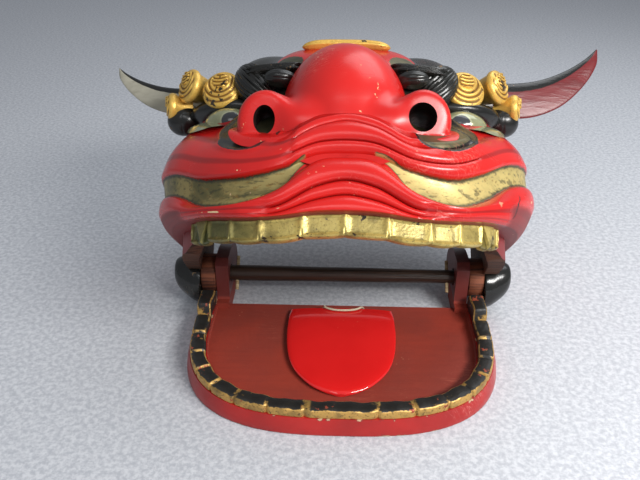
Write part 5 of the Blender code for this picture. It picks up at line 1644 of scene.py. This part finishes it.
# %% [markdown]
# The lower teeth are a low bar along the wall. Their tops are black, and gold leaf is left on their outer
# faces and worn along the edges, so the paint follows the section: top, outer face and inner face.

# %% Lower teeth
LOWER_SHARES = (0.0, 0.115, 0.235, 0.350, 0.450, 0.545, 0.645, 0.755, 0.870, 0.985)
LOWER_HEIGHT = 0.0065
LOWER_DEPTH = 0.0130
LAST_RISE, LAST_SPAN = 0.007, 0.02
SEAT_GAP = 0.0003


def make_lower_tooth_paint():
    material, tree, shader = start_material("lower_tooth_paint")
    place = object_place(tree)
    split = paint_uv(tree)
    band = calc(tree, "ADD", split[1], wander(tree, place, 260.0, 0.28, 4.0))
    ahead = step(tree, split_vector(tree, place)[1], 0.025, -0.010)
    outer = both(tree, step(tree, band, 0.40, 0.34), ahead)
    outer = either(tree, outer, both(tree, step(tree, band, 0.40, 0.34), step(tree, band, 0.24, 0.30)))
    inner_line = both(tree, step(tree, split[1], 0.79, 0.81), step(tree, split[1], 0.89, 0.87))
    inner_line = both(tree, inner_line, step(tree, noise(tree, place, 60.0, 4.0), 0.44, 0.52))
    gap_line = step(tree, noise(tree, place, 120.0, 3.0), 0.44, 0.54)
    gap_line = both(tree, step(tree, split[0], 0.10, 0.05), gap_line)
    worn = step(tree, noise(tree, place, 70.0, 4.0, 0.7), 0.66, 0.70)
    gilt = either(tree, either(tree, outer, inner_line), either(tree, gap_line, worn))
    tarnish = use_group(tree, TARNISH, place, Scale=90.0, Amount=0.8)
    gold = blend_colour(tree, tarnish["Cloud"], srgb(202, 160, 88), srgb(138, 112, 66))
    gold = blend_colour(tree, tarnish["Speckle"], gold, srgb(70, 58, 40))
    colour = blend_colour(tree, gilt, srgb(34, 33, 31), gold)
    chips = use_group(tree, CHIPS, place, Scale=200.0, Edge=0.6, Amount=0.5)
    colour = blend_colour(tree, chips["Mask"], colour, srgb(150, 70, 50))
    rough = calc(tree, "ADD", 0.34, both(tree, noise(tree, place, 60.0), 0.2))
    finish_material(tree, shader, colour, rough, both(tree, gilt, 0.5), noise(tree, place, 240.0, 4.0), 0.45)
    return material


def along_jaw(shares):
    """Points and outward directions on the wall's top edge, by share of its length from the left rear."""
    side, forward = jaw_outline(WALL_LEAN, JAW_REAR + 0.001, 481)
    line = np.stack([side, forward], axis=-1)
    lengths = np.concatenate([[0], np.cumsum(np.linalg.norm(np.diff(line, axis=0), axis=1))])
    wanted = shares * lengths[-1]
    reach = lengths[-1] * 0.004

    def at(distance):
        return np.stack([np.interp(distance, lengths, line[:, column]) for column in (0, 1)], axis=-1)

    direction = at(wanted + reach) - at(wanted - reach)
    direction /= np.linalg.norm(direction, axis=1)[:, None]
    return at(wanted), np.stack([-direction[:, 1], direction[:, 0]], axis=-1)


def lower_teeth_grid(rows=700):
    """Sections along the wall. Between teeth the bar is notched, and its rearmost teeth stand higher.

    A row of the section gives the inset from the wall's edge, the level and the place for the paint."""
    limit = 0.5 * LOWER_SHARES[-1]
    share = np.linspace(0.5 - limit, 0.5 + limit, rows)
    wide = np.abs(2 * share - 1)
    bounds = np.array(LOWER_SHARES)
    index = np.clip(np.searchsorted(bounds, wide, side="right") - 1, 0, len(bounds) - 2)
    place = (wide - bounds[index]) / (bounds[index + 1] - bounds[index])
    place = np.where((index == 0), (wide / bounds[1] + 1) / 2, place)
    to_edge = np.minimum(place, 1 - place)
    full = np.clip(to_edge / 0.09, 0, 1) ** 0.5
    last = ease(wide, bounds[-2], bounds[-2] + LAST_SPAN)
    points, outward = along_jaw(share)
    notch = 0.0018 * (1 - full)
    deep = (0.0004 + 0.0034 * np.clip((wide - 0.42) / 0.12, 0, 1)) * (1 - full)
    low = np.full(rows, WALL_HEIGHT + SEAT_GAP)
    high = low + LOWER_HEIGHT - deep + LAST_RISE * last + 0.0004 * np.sin(share * 173.0)
    wave = 0.0005 * np.sin(share * 91.0)
    section = [
        (0.0006 + notch, low, 0.02),
        (0.0006 + notch, low + 0.45 * (high - low), 0.12),
        (0.0006 + notch + 0.0002, high - 0.0016, 0.24),
        (0.0012 + notch, high - 0.0006, 0.32),
        (0.0022 + notch, high, 0.42),
        (0.0050 + wave, high + 0.0003 * full, 0.55),
        (0.0085 + wave, high + 0.0002 * full, 0.68),
        (LOWER_DEPTH - 0.0016 + wave, high - 0.0001, 0.78),
        (LOWER_DEPTH - 0.0006 + wave, high - 0.0007, 0.84),
        (LOWER_DEPTH + wave, high - 0.0018, 0.90),
        (LOWER_DEPTH + wave, low, 0.98),
    ]
    grid = [jaw_world(points[:, 0] - outward[:, 0] * inset, points[:, 1] - outward[:, 1] * inset, level)
            for inset, level, _ in section]
    paint = [np.stack([to_edge, np.full(rows, band)], axis=-1) for _, _, band in section]
    return np.stack(grid, axis=1), np.stack(paint, axis=1)


tooth_points, tooth_paint = lower_teeth_grid()
lower_teeth = closed_grid("lower_teeth_carved", tooth_points, [make_lower_tooth_paint()], tooth_paint,
                          np.radians(50))
dress(lower_teeth, JAW, "lower_teeth", slot="black_lacquer")

# %% [markdown]
# The tongue is a loose plate of wood under the thickest, brightest lacquer on the object. It is crowned, so
# the light leaves a soft window on it.

# %% Tongue
TONGUE_REAR = 0.031
TONGUE_LENGTH = 0.107
TONGUE_HALF_WIDTH = 0.046
TONGUE_THICKNESS = 0.0075
TONGUE_SECTIONS = ((0.00, 0.97, 0.75, 0.04), (0.12, 1.00, 0.95, 0.00), (0.35, 1.00, 1.00, 0.00),
                   (0.58, 0.94, 1.00, 0.00), (0.76, 0.80, 0.92, 0.00), (0.90, 0.55, 0.78, 0.00),
                   (0.97, 0.31, 0.60, 0.00), (1.00, 0.10, 0.40, 0.00))


def make_tongue_lacquer():
    material, tree, shader = start_material("tongue_lacquer")
    place = object_place(tree)
    hue = step(tree, noise(tree, place, 14.0), 0.3, 0.7)
    colour = blend_colour(tree, hue, srgb(226, 34, 34), srgb(214, 30, 30))
    scuffs = use_group(tree, SCUFFS, place, Scale=60.0, Amount=0.35)
    colour = blend_colour(tree, both(tree, scuffs["Specks"], 0.6), colour, srgb(240, 130, 110))
    rough = calc(tree, "ADD", 0.07, both(tree, noise(tree, place, 20.0), 0.06))
    finish_material(tree, shader, colour, rough, 0.0, noise(tree, place, 30.0, 2.0), 0.12, 0.6)
    return material


def tongue_grid(rows=90, columns=96):
    """Sections that are flat below, crowned above and round at the edges."""
    along, width_share, thick_share, lift = (c[:, None] for c in smooth_columns(TONGUE_SECTIONS, rows).T)
    turn = np.linspace(0, 2 * np.pi, columns, endpoint=False)[None, :]
    half_width = width_share * TONGUE_HALF_WIDTH
    thickness = thick_share * TONGUE_THICKNESS
    across = half_width * np.sign(np.cos(turn)) * np.abs(np.cos(turn)) ** 0.75
    height = thickness * (0.5 + 0.5 * np.sign(np.sin(turn)) * np.abs(np.sin(turn)))
    forward = TONGUE_REAR + np.clip(along, 0, 1) * TONGUE_LENGTH
    return jaw_world(across, forward + 0 * turn, FLOOR_THICKNESS + SEAT_GAP + lift * TONGUE_THICKNESS + height)


tongue = closed_grid("tongue_lacquered", tongue_grid(), [make_tongue_lacquer()], sharp=ROUND_SHARP)
dress(tongue, JAW, "tongue", slot="tongue_lacquer")

# %% [markdown]
# A short string ties the tongue down at its root. It is a free cord on one smooth curve through a few chosen
# points, and two twisted strands make it look like string and not like wire.

# %% Tongue string
STRING_ROUTE = ((-0.0160, 0.0240, 0.0104), (-0.0155, 0.0270, 0.0125), (-0.0150, 0.0290, 0.0160),
                (-0.0135, 0.0330, 0.0172), (-0.0060, 0.0362, 0.0174), (0.0040, 0.0368, 0.0175),
                (0.0120, 0.0352, 0.0173), (0.0165, 0.0320, 0.0170), (0.0185, 0.0288, 0.0152),
                (0.0195, 0.0265, 0.0124), (0.0200, 0.0240, 0.0104))
STRING_RADIUS = 0.0009
STRING_COLUMNS = 16
STRING_SPAN_POINTS = 8
STRING_TWISTS = 84.0


def smooth_route(points, per_span):
    """A Catmull-Rom curve through the chosen points, worked out for all spans at once."""
    points = np.asarray(points, dtype=float)
    padded = np.vstack([2 * points[0] - points[1], points, 2 * points[-1] - points[-2]])
    a, b, c, d = (padded[i:len(padded) - 3 + i, None, :] for i in range(4))
    t = (np.arange(per_span) / per_span)[None, :, None]
    spans = 0.5 * (2 * b + (c - a) * t + (2 * a - 5 * b + 4 * c - d) * t ** 2 + (3 * b - a - 3 * c + d) * t ** 3)
    return np.vstack([spans.reshape(-1, 3), points[-1]])


def make_string_cotton():
    material, tree, shader = start_material("string_cotton")
    split = paint_uv(tree)
    turns = calc(tree, "ADD", both(tree, split[1], STRING_TWISTS), both(tree, split[0], 2.0))
    twist = calc(tree, "SINE", both(tree, turns, 2 * np.pi))
    # The darker colour where the twist is low is painted shade between the strands.
    colour = blend_colour(tree, step(tree, twist, -0.9, 0.2), srgb(176, 158, 122), srgb(236, 224, 196))
    finish_material(tree, shader, colour, 0.85, height=twist, bump=0.5)
    return material


def tube_grid(route, radius, columns):
    """Circles of one radius across the route's direction."""
    direction = np.gradient(route, axis=0)
    direction /= np.linalg.norm(direction, axis=1)[:, None]
    across = np.cross(direction, (0.0, 1.0, 0.0))
    across /= np.linalg.norm(across, axis=1)[:, None]
    upward = np.cross(across, direction)
    turn = np.linspace(0, 2 * np.pi, columns, endpoint=False)
    return (route[:, None, :] + radius * (np.cos(turn)[None, :, None] * across[:, None, :]
                                          + np.sin(turn)[None, :, None] * upward[:, None, :]))


string_line = smooth_route(STRING_ROUTE, STRING_SPAN_POINTS)
string_path = jaw_world(string_line[:, 0], string_line[:, 1], string_line[:, 2])
string_points = tube_grid(string_path, STRING_RADIUS, STRING_COLUMNS)
string_rows = np.linspace(0, 1, len(string_path))[:, None]
string_turn = np.linspace(0, 1, STRING_COLUMNS, endpoint=False)[None, :]
string_paint = vectors(string_turn, string_rows)
string = closed_grid("tongue_string_twisted", string_points, [make_string_cotton()], string_paint)
dress(string, JAW, "tongue_string", slot="string")
